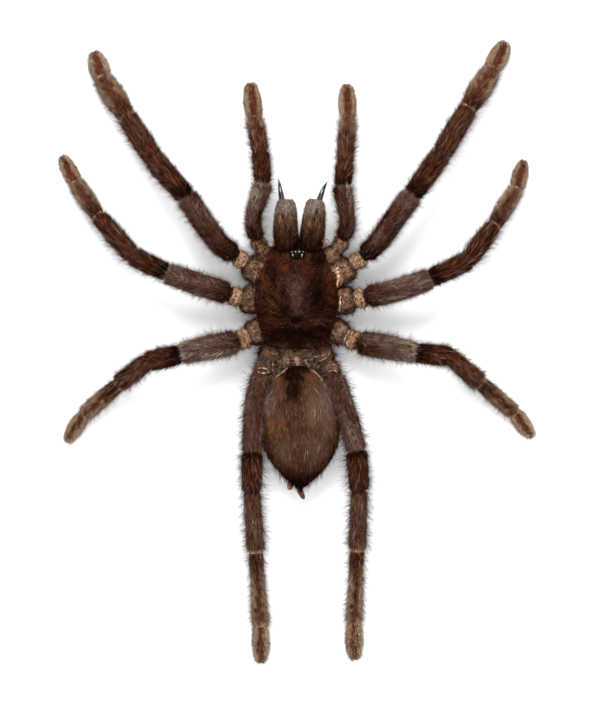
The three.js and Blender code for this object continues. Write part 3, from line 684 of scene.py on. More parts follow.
def carapace_height(x, y, share):
    """Height of the shield at x from the middle line and y, `share` of the way from the middle to the rim."""
    dome = RIM_HEIGHT + (TOP_HEIGHT - RIM_HEIGHT) * (1 - share ** 2.2)
    head = HEAD_RISE * step(PIT_Y, CARAPACE_FRONT, y) * (1 - 0.35 * share)
    groove = 0.5 * bell(distance_to_line(np.abs(x), y, (0, PIT_Y), GROOVE_END), 0.9) * (1 - share ** 4)
    pit = 1.0 * bell(x, 1.1) * bell(y - PIT_Y, 0.7)
    away = np.hypot(x, y - PIT_Y)
    turn = np.arctan2(np.abs(x), y - PIT_Y)
    furrow = sum(bell((turn - a) * away, 0.5) for a in FURROW_ANGLES)
    furrow = 0.16 * furrow * step(0.8, 3.0, away) * (1 - share ** 6)
    return dome + head - groove - pit - furrow


def cephalothorax():
    """Rings over the shield, round its rim, under it and down to the sternum."""
    middle = np.array([0, CARAPACE_MIDDLE])
    edge = carapace_outline() - middle
    around = np.arctan2(edge[:, 1], edge[:, 0])
    grid = []
    for share, drop in [(share, 0) for share in np.linspace(0.012, 1, SHIELD_RINGS)] + RIM_RINGS:
        plan = middle + share * edge
        grid.append(np.column_stack([plan, carapace_height(*plan.T, min(share, 1.0)) - drop]))
    for size, height in TRUNK_RINGS:
        x = size * STERNUM_HALF * np.cos(around)
        y = STERNUM_Y + size * STERNUM_LONG * np.sin(around)
        grid.append(np.column_stack([x, y, np.full(len(around), height)]))
    return np.stack(grid)


def shield_marks(grid):
    """Where the mauve pile, the rusty streaks, the golden side and the black parts of the shield are. black
    also holds painted shade in the pit, the furrows and the grooves.
    """
    x, y, z = np.moveaxis(grid, -1, 0)
    above = step(RIM_HEIGHT - 0.9, RIM_HEIGHT + 0.4, z)
    spread = 1.1 + 0.19 * np.clip(y - PIT_Y, 0, 12)
    mauve = highest(bell(x + 0.1 * (y - 12), spread) * step(6.8, 8.4, y) * (1 - step(13.0, 20.0, y)),
                    0.7 * bell(y - 1.5, 0.55) * bell(np.abs(x) - 3.2, 1.9))
    rust = patches(x, y, [(-2.6, 18.4, 0.9, 1.5), (2.3, 17.8, 0.8, 2.0), (7.6, 14.5, 0.9, 3.6),
                          (-6.5, 20.5, 1.5, 1.0), (0.1, 5.6, 0.5, 0.35)])
    gold = patches(x, y, [(-7.2, 15.4, 1.3, 4.6), (-4.6, 9.6, 2.2, 3.4), (-3.6, 14.0, 0.7, 4.0),
                          (6.9, 17.6, 1.0, 2.6), (0.2, 20.9, 3.6, 1.0), (4.6, 6.6, 2.2, 0.9)])
    turn = np.arctan2(x, y - PIT_Y)
    away = np.hypot(x, y - PIT_Y)
    furrow = sum(bell((np.abs(turn) - a) * away, 0.45) for a in FURROW_ANGLES) * step(1.5, 4.0, away)
    groove = bell(distance_to_line(np.abs(x), y, (0.8, PIT_Y), GROOVE_END), 0.7) * (1 - step(15, 19, y))
    # The patch at (0, 6.75) darkens the pit, and the furrows and grooves added below are darkened too: painted
    # shade. The other patches are the shield's own black.
    black = patches(x, y, [(0, 3.9, 6.6, 1.7), (4.6, 12.0, 1.8, 4.0), (4.8, 20.0, 1.6, 1.8),
                           (0, 6.75, 0.9, 0.35), (-2.9, 8.9, 1.2, 1.6)])
    black = highest(black, 0.45 * furrow, 0.6 * groove)
    fibre = np.stack([4.2 * np.sin(turn), 4.2 * np.cos(turn), 0.16 * away], -1)
    return {"mauve": mauve * above, "rust": rust * above, "gold": gold * above, "black": black * above,
            "under": 1 - above, "fibre": fibre}


# %% Skin of the shield
def shield_skin():
    """Chestnut horn under fine hair that lies in rays from the pit."""
    paint = Paint("shield_skin")
    rays = paint.noise("fibre", 2.6, 5.0, 0.7)
    fine = paint.noise(None, 2200.0, 3.0, 0.7)
    cloud = paint.noise(None, 700.0, 4.0, 0.7)
    color = paint.layers(
        paint.mix((rays * 0.7 + cloud * 0.3).step(0.38, 0.62), (14, 5, 2), (54, 24, 12)),
        ("gold", rays.step(0.36, 0.6) * 0.75, (84, 50, 27)),
        ("rust", cloud.step(0.35, 0.6) * 0.8, (100, 40, 26)),
        # black is the shield's own black, and painted shade in the pit, furrows and grooves
        ("mauve", 0.2 + fine * 0.6, (84, 62, 55)), ("black", 0.8, (6, 2, 2)),
        ("under", 0.9, paint.mix(cloud, (30, 18, 13), (64, 44, 33))))
    return paint.finish(color, 0.65 + fine * 0.3, rays * 0.6 + fine * 0.4, 0.09)


def ellipsoid(place, radii, rows=16, cols=24):
    """The grid of an ellipsoid: rings at heights -cos(b), of radius sin(b)."""
    b = np.linspace(0, np.pi, rows + 2)[1:-1, None]
    a = 2 * np.pi * np.arange(cols) / cols
    ball = np.stack([np.sin(b) * np.cos(a), np.sin(b) * np.sin(a), -np.cos(b) + 0 * a], -1)
    return np.array(place) + ball * radii


LIP_PLACE, LIP_RADII = (BODY_X, 16.8, 2.5), (1.3, 0.95, 0.8)  # the small plate between sternum and mouth
shield_grid = cephalothorax()
rough = 0.05 * lumps(shield_grid, 2.2, 5) * step(RIM_HEIGHT, RIM_HEIGHT + 1, shield_grid[..., 2])
shield_grid[..., 2] += rough
shield_values = shield_marks(shield_grid)
shield_grid = shield_grid + (BODY_X, 0, 0)
lip_grid = ellipsoid(LIP_PLACE, LIP_RADII, 20, 40)
trunk = [skin(shield_grid, shield_values), skin(lip_grid, shield_marks(lip_grid))]
mesh_piece("shield_and_trunk", *joined(trunk), shield_skin(), "shield", ["cephalothorax"])

# %% Eyes
TUBERCLE_Y, TUBERCLE_RADII = 21.05, (1.72, 1.16, 0.85)
EYES_X = BODY_X + 0.24  # the eyes sit a little to the right of the body's middle line
EYES = [(0.41, 0.6, 0.19), (1.2, 0.56, 0.15), (1.0, -0.08, 0.2), (0.95, -0.5, 0.1)]  # x, y, radius of pairs


def glossy(name, low, high, roughness, detail=700.0, coat=0.6):
    """Smooth horn: two close tones in soft clouds under a thin clear layer."""
    paint = Paint(name, specular=coat, coat=coat)
    cloud = paint.noise(None, detail, 3.0)
    return paint.finish(paint.mix(cloud.step(0.3, 0.7), low, high), roughness + cloud * 0.1, cloud, 0.02)


def eye_places(base):
    """The middles and radii of the eight eyes, on the tubercle's own ellipsoid."""
    long, wide, tall = TUBERCLE_RADII
    made = []
    for x, y, radius in EYES:
        z = base + tall * np.sqrt(max(0.0, 1 - (x / long) ** 2 - (y / wide) ** 2)) - 0.3 * radius
        made += [((EYES_X + side * x, TUBERCLE_Y + y, z), (radius,) * 3) for side in (-1, 1)]
    return made


tubercle_base = float(carapace_height(0.0, TUBERCLE_Y, 0.8)) - 0.1
tubercle = ellipsoid((EYES_X, TUBERCLE_Y, tubercle_base), TUBERCLE_RADII, 20, 40)
tubercle = tubercle + 0.03 * lumps(tubercle, 0.5, 8)[..., None] * (0, 0, 1)
EYE_BLACK = glossy("eye_black", (3, 2, 2), (14, 7, 5), 0.45, coat=0.03)
mesh_piece("eye_tubercle", *skin(tubercle), EYE_BLACK, "fangs")
eye_skins = [skin(ellipsoid(*eye, 12, 20)) for eye in eye_places(tubercle_base)]
# the eyes' pale tone is painted highlight standing in for their glints, over the dark tone of the lens
EYE_LENS_AND_GLINT = glossy("eye_lens_and_glint", (70, 40, 32), (240, 206, 186), 0.1, 2600.0, coat=0.4)
mesh_piece("eyes", *joined(eye_skins), EYE_LENS_AND_GLINT, "fangs")

# %% [markdown]
# ## The abdomen
#
# The abdomen is an egg that is round in front and drawn to a point behind. When it dries, its skin shrinks in
# low folds across the back. The colour is in soft patches: a black mark along the heart, orange flanks, and an
# olive bloom on both shoulders.

# %% Abdomen shape
ABDOMEN_START, ABDOMEN_END = (0.1, -2.9), (0.75, -29.4)  # its front and rear, in plan
ABDOMEN_HALF, ABDOMEN_TALL, ABDOMEN_HEIGHT, ABDOMEN_TAPER = 8.7, 6.7, 6.2, 0.8
PALE_EDGES = [[(-7.6, -9.6), (-5.0, -5.6), (-1.9, -3.0)], [(1.6, -2.9), (4.4, -4.8), (6.8, -8.0)]]


def abdomen():
    """Rings of an egg. Over u from 0 to 1 the half width is sin(pi u), times 1 - taper (2u - 1)^2 behind."""
    u = np.linspace(0.006, 0.994, 190)[:, None]
    t = (1 - np.cos(np.pi * u)) / 2
    size = np.sin(np.pi * u) * np.where(u > 0.5, 1 - ABDOMEN_TAPER * (2 * u - 1) ** 2, 1)
    a = 2 * np.pi * np.arange(160) / 160 - np.pi / 2
    x = ABDOMEN_START[0] * (1 - t) + ABDOMEN_END[0] * t + size * ABDOMEN_HALF * np.cos(a)
    y = ABDOMEN_START[1] * (1 - t) + ABDOMEN_END[1] * t + 0 * a
    z = ABDOMEN_HEIGHT + size * ABDOMEN_TALL * np.sin(a)
    grid = np.stack([x, y, z], -1)
    out = np.stack([np.cos(a) + 0 * u, 0.15 * (t - 0.5) + 0 * a, np.sin(a) + 0 * u], -1)
    folds = lumps(grid * (0.45, 1.5, 0.6), 2.6, 21)
    relief = 0.03 * folds + 0.12 * lumps(grid, 4.0, 22) + 0.03 * lumps(grid, 0.8, 23)
    grid = grid + out * (relief * np.sin(np.pi * u))[..., None]
    grid[..., 2] = np.maximum(grid[..., 2], 0)
    return grid


def abdomen_marks(grid):
    """The black, orange and olive parts of the abdomen, and the pale edges of skin on its shoulders. black
    also holds a dark band along the outline behind, painted shade where the sides turn away.
    """
    x, y, z = np.moveaxis(grid, -1, 0)
    above = step(3.0, 8.0, z)
    black = patches(x, y, [(-0.9, -5.2, 2.9, 2.7), (-0.4, -3.5, 4.0, 1.6), (-0.8, -7.8, 1.8, 3.2)])
    black = black * (1 + 0.25 * lumps(grid * (1, 0.3, 1), 1.2, 24))
    # edge: a dark band along the outline behind, painted shade where the sides turn away
    edge = bell(np.hypot((x - 0.5) / 8.7, (y + 15.2) / 13.6) - 1.0, 0.13) * step(-17.5, -22.5, y)
    black = highest(0.96 * step(0.13, 0.92, black) * above, 0.8 * step(-24.5, -28.0, y), 0.65 * edge)
    orange = patches(x, y, [(-4.4, -6.3, 1.8, 1.9), (2.7, -5.0, 1.6, 1.8), (-6.2, -16.6, 1.9, 2.2),
                            (7.2, -16.8, 0.9, 1.2), (2.9, -13.4, 0.7, 2.4), (-3.4, -15.6, 1.0, 2.0)])
    olive = highest(patches(x, y, [(-6.6, -10.4, 2.2, 3.8), (6.2, -11.0, 3.2, 5.2), (3.6, -12.4, 1.6, 3.4)]),
                    0.5 * patches(x, y, [(4.0, -20.0, 3.2, 3.0), (-3.2, -21.0, 2.4, 2.6)]))
    pale = highest(*[bell(distance_to_line(x, y, start, end), 0.14)
                     for line in PALE_EDGES for start, end in zip(line, line[1:])])
    pale = pale * step(-0.9, 0.5, lumps(grid, 1.6, 25))
    fibre = np.stack([2.4 * x, 0.34 * y, 2.4 * z], -1)
    return {"black": black, "orange": orange * above, "olive": olive * above, "pale": pale * above,
            "under": 1 - step(2.5, 5.5, z), "fibre": fibre}


def abdomen_skin():
    """Soft leathery skin, streaked from front to back by the hair that is combed over it."""
    paint = Paint("abdomen_skin")
    combed = paint.noise("fibre", 1.2, 5.0, 0.7)
    fine = paint.noise(None, 2400.0, 3.0, 0.7)
    cloud = paint.noise(None, 300.0, 3.0, 0.6)
    color = paint.layers(
        paint.mix(combed.step(0.28, 0.72), (34, 18, 12), (98, 64, 46)),
        ("olive", 0.3 + cloud * 0.7, (116, 96, 80)),
        ("orange", 0.2 + cloud.step(0.3, 0.65) * 0.4, (136, 86, 54)),
        # black includes the band of painted shade along the outline behind
        ("black", 0.85 + combed * 0.2, (12, 4, 2)),
        ("under", 0.6, paint.mix(cloud, (40, 27, 20), (72, 52, 40))),
        ("pale", 0.4 + fine * 0.7, (206, 170, 128)))
    return paint.finish(color, 0.75 + fine * 0.2, combed * 0.6 + fine * 0.4, 0.12)


abdomen_grid = abdomen()
abdomen_values = abdomen_marks(abdomen_grid)
mesh_piece("abdomen_skin", *skin(abdomen_grid, abdomen_values), abdomen_skin(), "abdomen", ["abdomen"])

# %% [markdown]
# ## The jaws and fangs
#
# Each chelicera is a stout, flat-ended block with a slit along its upper side. Painted shade makes it dark
# where it meets the shield and in the slit, and it turns to pale grey velvet at the front. The fang is a
# curved horn, so smooth that it reflects the light as one long streak.

# %% Jaw shape
CHELICERA_Y, CHELICERA_Z, CHELICERA_DEPTH = (21.8, 33.0), (7.3, 6.2), 1.25  # base and tip
CHELICERA_X = {"left": (-2.6, -2.4), "right": (2.85, 3.9)}
CHELICERA_HALF = [(0, 2.3), (0.12, 2.5), (0.35, 2.6), (0.6, 2.5), (0.8, 2.25), (0.93, 1.95), (0.985, 1.75),
                  (1, 1.0)]
SLITS = {"left": [(-3.3, 29.3), (-2.5, 26.5)], "right": [(4.3, 30.9), (3.2, 27.6)]}
FANG = {"left": [(-3.2, 32.0, 4.9), (-3.75, 35.4, 5.3), (-4.15, 38.1, 3.6)],
        "right": [(4.5, 32.0, 4.9), (5.5, 35.2, 5.3), (6.7, 37.4, 3.6)]}
FANG_RADIUS = [(0, 0.72), (0.35, 0.6), (0.7, 0.36), (1, 0.03)]


def chelicera(side):
    """A jaw, its slit, the marks of its velvet, and painted shade at its base and in the slit."""
    t = np.linspace(0, 1, 120)
    ends = CHELICERA_X[side], CHELICERA_Y, CHELICERA_Z
    centre = np.stack([start + t * (end - start) for start, end in ends], -1)
    places, halves = np.array(CHELICERA_HALF).T
    half = softened(lambda s: np.interp(s, places, halves), t, 0.025)
    grid, out = tube(centre, half, half * CHELICERA_DEPTH, 72, 0.86)
    x, y, z = np.moveaxis(grid, -1, 0)
    above = step(CHELICERA_Z[1], CHELICERA_Z[1] + 1.5, z)
    fibre = np.stack([2.6 * x, 0.3 * y, 2.6 * z], -1)
    wander = 0.12 * lumps(fibre, 1.6, 35)
    slit = bell(distance_to_line(x + wander, y, *SLITS[side]), 0.3) * above
    beside = bell(distance_to_line(x + 0.6 + 2 * wander, y, *SLITS[side]), 0.4) * above
    grid = grid - out * (0.4 * slit)[..., None] + out * (0.05 * lumps(fibre, 1.2, 31))[..., None]
    velvet = step(28.6, 31.0, y + 0.8 * lumps(fibre, 1.4, 33))
    # painted shade: darker towards the base, where the jaw goes under the shield's edge, and in the slit
    dark = 1 - 0.95 * step(22.6, 29.6, y + 1.0 * lumps(fibre, 1.4, 34))
    return grid, {"velvet": velvet, "dark": np.maximum(dark, slit), "slit": slit, "pale": beside,
                  "fibre": fibre}


def jaw_skin():
    """Brown streaks that turn to grey velvet in front, and to black as painted shade at the base
    and in the slit.
    """
    paint = Paint("jaw_skin")
    streak = paint.noise("fibre", 1.1, 5.0, 0.7)
    fine = paint.noise(None, 2600.0, 3.0, 0.7)
    color = paint.layers(
        paint.mix(streak.step(0.3, 0.7), (36, 18, 10), (112, 80, 50)),
        ("velvet", 0.55 + streak * 0.7, paint.mix(fine.step(0.3, 0.7), (70, 60, 54), (160, 150, 140))),
        ("pale", streak.step(0.35, 0.6) * 0.5, (164, 142, 108)),
        # dark: painted shade at the base and in the slit
        ("dark", 1.0, paint.mix(streak.step(0.4, 0.7), (10, 4, 3), (44, 20, 11))))
    return paint.finish(color, 0.7 + fine * 0.25, streak * 0.6 + fine * 0.4, 0.12)


JAW_SKIN = jaw_skin()
jaws = {side: chelicera(side) for side in ("left", "right")}
for side, (grid, values) in jaws.items():
    mesh_piece(f"chelicera_{side}_skin", *skin(grid, values), JAW_SKIN, "jaws", [f"chelicera_{side}"])

# %% Fangs and spinnerets
SPINNERET = {"left": ([(-1.2, -27.6, 4.4), (-1.5, -28.9, 4.3), (-1.8, -30.1, 4.2)], 0.8),
             "right": ([(-0.2, -27.8, 4.8), (0.55, -30.2, 4.5), (1.5, -32.1, 4.0)], 0.72)}
SPINNERET_PROFILE = [(0, 0.9), (0.25, 1), (0.36, 0.98), (0.39, 0.78), (0.5, 0.95), (0.64, 0.92), (0.67, 0.7),
                     (0.8, 0.78), (0.93, 0.5), (1, 0.08)]


def bezier(points, t):
    """The curve (1 - t)^2 a + 2t(1 - t) c + t^2 b that passes the middle point halfway."""
    start, middle, end = np.array(points)
    control = 2 * middle - (start + end) / 2
    t = t[:, None]
    return (1 - t) ** 2 * start + 2 * t * (1 - t) * control + t ** 2 * end


def horn(points, profile, radius, rows, cols):
    """Round rings along a curve through three points, whose radius follows a profile."""
    t = np.linspace(0, 1, rows)
    radii = radius * np.interp(t, *np.array(profile).T)
    return tube(bezier(points, t), radii, radii, cols)[0]


def stained(name, low, high, scale, edges, roughness, depth, specular):
    """Horny skin in two tones with soft stains between them."""
    paint = Paint(name, specular=specular)
    cloud, fine = paint.noise(None, scale), paint.noise(None, 4000.0)
    return paint.finish(paint.mix(cloud.step(*edges), low, high), 0.5 + fine * roughness, fine, depth)


FANG_HORN = glossy("fang_horn", (4, 3, 3), (16, 11, 9), 0.1)
SPIGOT = (900.0, (0.35, 0.65), 0.2, 0.05, 0.4)
SPINNERET_SKIN = {"left": stained("stub_skin", (96, 56, 36), (196, 150, 112), *SPIGOT),
                  "right": stained("spinneret_skin", (60, 26, 15), (134, 76, 44), *SPIGOT)}
for side, (points, radius) in SPINNERET.items():
    fang = horn(FANG[side], FANG_RADIUS, 1.0, 60, 32)
    mesh_piece(f"fang_{side}_horn", *skin(fang), FANG_HORN, "fangs", [f"fang_{side}"])
    spigot = horn(points, SPINNERET_PROFILE, radius, 60, 28)
    spigot = spigot + 0.03 * lumps(spigot, 0.4, 41)[..., None]
    name = f"spinneret_{side}"
    mesh_piece(f"{name}_skin", *skin(spigot), SPINNERET_SKIN[side], "spinnerets", [name])

# %% [markdown]
# ## The waist
#
# The pedicel is soft skin around two small plates, and it dries in folds. It shows in the gap between shield
# and abdomen as yellow, tan and red. The gap beside it isn't empty: loose skin bulges up in it on both sides,
# as crinkled ellipsoids that are joined as one piece.

# %% Waist
PEDICEL_FRONT, PEDICEL_REAR, PEDICEL_HALF, PEDICEL_TALL, PEDICEL_HEIGHT = 3.4, -5.2, 1.6, 1.15, 4.9
LOOSE_SKIN = [  # middle and radii of each bulge
    ((-3.2, -1.5, 3.9), (1.7, 2.3, 1.9)), ((-5.0, -3.2, 3.8), (1.5, 1.9, 1.8)),
    ((-3.0, 0.9, 4.6), (2.0, 1.3, 1.7)), ((2.8, -1.5, 3.9), (1.6, 2.3, 1.9)),
    ((4.9, -3.2, 3.8), (1.6, 1.9, 1.8)), ((2.7, 0.9, 4.6), (2.0, 1.3, 1.7)),
]


def pedicel():
    """A short tube with folds across it: half width 1 + 0.1 cos(2 pi y / 0.8)."""
    t = np.linspace(0, 1, 90)
    y = PEDICEL_FRONT + t * (PEDICEL_REAR - PEDICEL_FRONT)
    fold = 1 + 0.10 * np.cos(2 * np.pi * y / 0.8)
    centre = np.stack([BODY_X + 0.2 * np.sin(y), y, PEDICEL_HEIGHT + 0 * t], -1)
    grid, out = tube(centre, PEDICEL_HALF * fold, PEDICEL_TALL * fold, 48)
    return grid + out * (0.12 * lumps(grid, 0.7, 51))[..., None]


def bulge(place, radii, seed):
    """An ellipsoid whose points are moved outwards by lumps of two sizes."""
    grid = ellipsoid(place, radii, 40, 64)
    out = unit((grid - place) / np.square(radii))
    wide = np.array([1.0, 2.2, 1.0])
    return grid + out * (0.16 * lumps(grid * wide, 1.5, seed) + 0.07 * lumps(grid, 0.6, seed + 1))[..., None]


def waist_marks(grid):
    """Where the soft skin behind the shield is yellow, red, pink or pale."""
    x, y = grid[..., 0], grid[..., 1]
    return {"yellow": patches(x, y, [(-1.6, -0.1, 0.5, 0.9), (1.2, -0.2, 0.5, 0.9)]),
            "red": patches(x, y, [(-1.35, -1.3, 0.45, 0.5), (1.2, -1.2, 0.5, 0.5)]),
            "pink": patches(x, y, [(-0.2, -1.5, 0.5, 0.4)]),
            "pale": patches(x, y, [(3.9, -0.4, 1.2, 0.25), (5.6, -1.2, 0.9, 0.3), (-4.0, -0.3, 1.0, 0.25)])}


def waist_skin():
    """Stained soft skin with small coloured patches."""
    paint = Paint("waist_skin", specular=0.3)
    cloud, fine = paint.noise(None, 700.0), paint.noise(None, 3000.0)
    color = paint.layers(
        paint.mix(cloud.step(0.38, 0.62), (34, 20, 13), (152, 122, 88)),
        ("yellow", cloud.step(0.25, 0.5), (196, 136, 52)), ("red", 0.95, (110, 16, 8)),
        ("pink", 0.95, (224, 150, 128)), ("pale", cloud.step(0.3, 0.6) * 0.8, (206, 176, 156)))
    return paint.finish(color, 0.45 + fine * 0.3, fine, 0.08)


WAIST_SKIN = waist_skin()
waist_grid = pedicel()
mesh_piece("waist", *skin(waist_grid, waist_marks(waist_grid)), WAIST_SKIN, "waist", ["pedicel"])
bulges = [bulge(*row, seed) for seed, row in enumerate(LOOSE_SKIN, 61)]
mesh_piece("waist_folds", *joined([skin(grid, waist_marks(grid)) for grid in bulges]), WAIST_SKIN, "waist")

# %% [markdown]
# On the right, the dried skin between the shield and the first two legs has pulled open in shiny red-brown
# lips, and pale lips laid over them are painted highlight in place of their glints. A few stiff bristles curl
# beside the jaws. Both are horns on a curve through three points, like the fangs, and so are the claws.

# %% Shiny lips, curled bristles and claws
LIPS = {  # three points of each lip, and its radius
    "shiny_lips": [([(8.6, 18.2, 7.3), (9.4, 16.1, 7.7), (9.1, 14.1, 7.2)], 0.62),
                   ([(9.7, 12.7, 7.2), (9.9, 11.1, 7.7), (9.6, 9.2, 7.2)], 0.55),
                   ([(-8.7, 18.2, 6.9), (-9.2, 16.5, 7.2), (-9.2, 15.0, 6.9)], 0.3)],
    # pale lips that stand in for the glints of the shiny lips: painted highlight
    "pale_lips": [([(8.2, 18.3, 7.8), (8.75, 16.6, 8.2), (8.6, 13.9, 7.7)], 0.42),
                  ([(7.6, 17.6, 8.0), (8.5, 18.0, 8.2), (8.9, 18.8, 7.6)], 0.34),
                  ([(9.3, 12.4, 7.6), (9.25, 10.6, 8.0), (9.05, 8.8, 7.5)], 0.22)],
}
LIP_PROFILE = [(0, 0.15), (0.15, 0.7), (0.4, 1), (0.7, 0.8), (1, 0.12)]
CURLS = [
    [(5.2, 23.2, 8.0), (6.4, 24.4, 8.9), (7.0, 22.7, 7.8)],
    [(5.0, 23.6, 8.4), (5.8, 24.2, 9.1), (5.9, 23.0, 8.2)],
    [(5.3, 22.6, 8.2), (6.5, 23.4, 9.0), (6.3, 22.2, 8.0)],
    [(-4.8, 22.9, 8.2), (-5.5, 24.0, 8.9), (-5.4, 22.9, 8.0)],
]
CURL_RADIUS, CLAW_RADIUS, CLAW_REACH = 0.13, 0.13, 0.75
THICKEST = FANG_RADIUS[0][1]  # a profile's widest radius, by which a wanted radius is divided

# the second material is the painted highlight of the pale lips
LIP_SKIN = {"shiny_lips": glossy("lip_red", (58, 20, 8), (150, 82, 42), 0.15, 1400.0, coat=0.4),
            "pale_lips": glossy("lip_glint", (124, 62, 36), (250, 214, 180), 0.12, 1800.0, coat=0.35)}
for name, rows in LIPS.items():
    lips = [horn(points, LIP_PROFILE, radius, 48, 20) for points, radius in rows]
    lips = [skin(lip + (0.1 * lumps(lip, 0.9, 71) + 0.05 * lumps(lip, 0.4, 72))[..., None]) for lip in lips]
    mesh_piece(name, *joined(lips), LIP_SKIN[name], "waist")
curls = [skin(horn(points, FANG_RADIUS, CURL_RADIUS / THICKEST, 40, 10)) for points in CURLS]
CURL_RED = glossy("curl_red", (84, 16, 14), (190, 120, 112), 0.3, 500.0, coat=0.3)
mesh_piece("curled_bristles", *joined(curls), CURL_RED, "jaws")


def claws(name):
    """Two small hooks under the tip of a limb, side by side."""
    grid, _, ahead, _, _ = coats[name]
    end, way = grid[-8].mean(0), ahead[-8]
    level = np.array([-way[1], way[0], 0.0]) / np.hypot(way[0], way[1])
    hooks = []
    for shift in (-0.28, 0.28):
        start = end + level * shift
        points = [start, start + way * CLAW_REACH * 0.6, start + way * CLAW_REACH + (0, 0, -0.35)]
        hook = horn(points, FANG_RADIUS, CLAW_RADIUS / THICKEST, 24, 10)
        hook[..., 2] = np.maximum(hook[..., 2], 0.01)
        hooks.append(skin(hook))
    return hooks


mesh_piece("claws", *joined([hook for name in LIMBS for hook in claws(name)]), FANG_HORN, "limbs")

# %% [markdown]
# Dried joint skin stands up in pale ridges. Some run round the upper side of a limb where two segments meet.
# Others lie across the loose skin behind the shield. Both are cords laid on the surface below them.

# %% Pale ridges
RIDGES = {  # joint, distance past it, how far it bows, reach round the limb in degrees, and radius
    "palp": [(7, 0.05, 0.1, 70, 0.08)],
    "leg_1": [(7, 0.1, 0.2, 78, 0.11), (8, 0.05, 0.2, 78, 0.13)],
    "leg_2": [(7, 0.1, 0.2, 78, 0.1), (8, 0.05, 0.2, 78, 0.12)],
    "leg_3": [(1, 0.5, 0.5, 66, 0.13), (1, 1.5, 0.6, 72, 0.17), (7, 0.1, 0.2, 78, 0.1),
              (8, 0.05, 0.2, 78, 0.12)],
    "leg_4": [(7, 0.1, 0.2, 78, 0.16), (8, 0.05, 0.3, 78, 0.2)],
}
STRANDS = [  # three places in plan, and radius
    ([(-8.8, -3.7), (-7.5, -3.45), (-6.0, -4.05)], 0.16), ([(-8.7, -4.1), (-7.4, -4.55), (-6.05, -4.2)], 0.2),
    ([(7.0, -3.0), (7.9, -2.7), (8.8, -3.1)], 0.08), ([(6.8, -4.3), (7.7, -3.9), (8.6, -4.4)], 0.09),
    ([(7.1, 0.5), (6.4, -1.05), (4.6, -1.9)], 0.08), ([(4.45, -1.9), (3.8, -2.6), (3.6, -3.4)], 0.1),
    ([(2.25, 0.1), (3.8, -0.9), (5.75, -0.6)], 0.11), ([(1.5, -1.2), (2.05, -2.5), (2.9, -3.7)], 0.11),
    ([(2.9, -3.7), (4.1, -4.6), (5.5, -6.4)], 0.1), ([(-2.1, -3.3), (-3.1, -4.3), (-5.0, -5.7)], 0.11),
    ([(-3.8, -0.6), (-4.2, -2.1), (-3.5, -4.0)], 0.08), ([(-5.0, -1.5), (-5.4, -3.0), (-4.9, -5.4)], 0.08),
    ([(-3.0, -0.5), (-3.1, -2.0), (-2.5, -3.4)], 0.07), ([(-2.3, -1.0), (-1.95, -1.9), (-2.3, -2.6)], 0.11),
    ([(1.75, 0.1), (1.4, -1.0), (1.95, -2.0)], 0.09), ([(-6.4, 0.3), (-5.0, -0.4), (-3.6, 0.1)], 0.09),
]
RIDGE_LIFT, STRAND_LIFT = 0.06, 0.2  # how far a ridge and a strand stand over the skin
BEHIND = (-8, 2)  # the strands lie between these places along y


def at_places(values, r, k, n, a, b):
    """Values of a grid between rings r and r + 1 and points k and n, at the shares a and b."""
    return ((1 - a) * (1 - b) * values[r, k] + (1 - a) * b * values[r, n]
            + a * (1 - b) * values[r + 1, k] + a * b * values[r + 1, n])


def cord(path, radius):
    """The skin of a tube along a path. Its radius is (1 - (2t - 1)^4)^(1/2), so both ends close, times 1 plus
    lumps that make it thick and thin."""
    t = np.linspace(0, 1, len(path))
    size = radius * np.sqrt(np.clip(1 - (2 * t - 1) ** 4, 0.02, 1)) * (1 + 0.35 * lumps(path, 1.1, 91))
    return skin(tube(path, np.maximum(size, 0.02), np.maximum(size, 0.02), 10)[0])


def ridge(name, joint, past, bow, reach):
    """A path round the top of a limb: at the turn a from the top it is at s = joint + past + bow sin^2 a."""
    grid, out, _, facts, _ = coats[name]
    turn = np.radians(np.linspace(-reach, reach, 36))
    s = middle_line(name)[0][joint] + past + bow * np.sin(turn) ** 2
    row = np.interp(s, facts["s"][:, 0], np.arange(len(grid)))
    column = (0.5 + turn / (2 * np.pi)) * AROUND
    r, k = row.astype(int), column.astype(int)
    return at_places(grid + RIDGE_LIFT * out, r, k, k + 1, (row - r)[:, None], (column - k)[:, None])


def draped(places, under):
    """A curve through three places in plan, laid on the highest of the points that are near it in plan."""
    path = bezier([(x, y, 0.0) for x, y in places], np.linspace(0, 1, 30))
    near = ((path[:, None, :2] - under[None, :, :2]) ** 2).sum(-1) < 0.3 ** 2
    height = np.pad(np.where(near, under[None, :, 2], 3.0).max(1), 3, mode="edge")
    path[:, 2] = np.convolve(height, np.full(7, 1 / 7), mode="valid") + STRAND_LIFT
    return path


RIDGE_SKIN = stained("ridge_skin", (92, 60, 42), (228, 184, 152), 1300.0, (0.4, 0.66), 0.3, 0.04, 0.3)
ridges = [cord(ridge(name, *row[:4]), row[4]) for name in LIMBS for row in RIDGES[kind_of(name)]]
mesh_piece("joint_ridges", *joined(ridges), RIDGE_SKIN, "limbs")
low_parts = [coats["leg_4_left"][0], coats["leg_4_right"][0], abdomen_grid, *bulges, waist_grid]
under = np.vstack([part.reshape(-1, 3) for part in low_parts])
under = under[(np.abs(under[:, 0]) < 10) & (under[:, 1] > BEHIND[0]) & (under[:, 1] < BEHIND[1])]
strands = [(draped(places, under), radius) for places, radius in STRANDS]
mesh_piece("waist_strands", *joined([cord(path, radius) for path, radius in strands]), RIDGE_SKIN, "waist")
strand_points = np.vstack([path for path, _ in strands])[::2, :2]


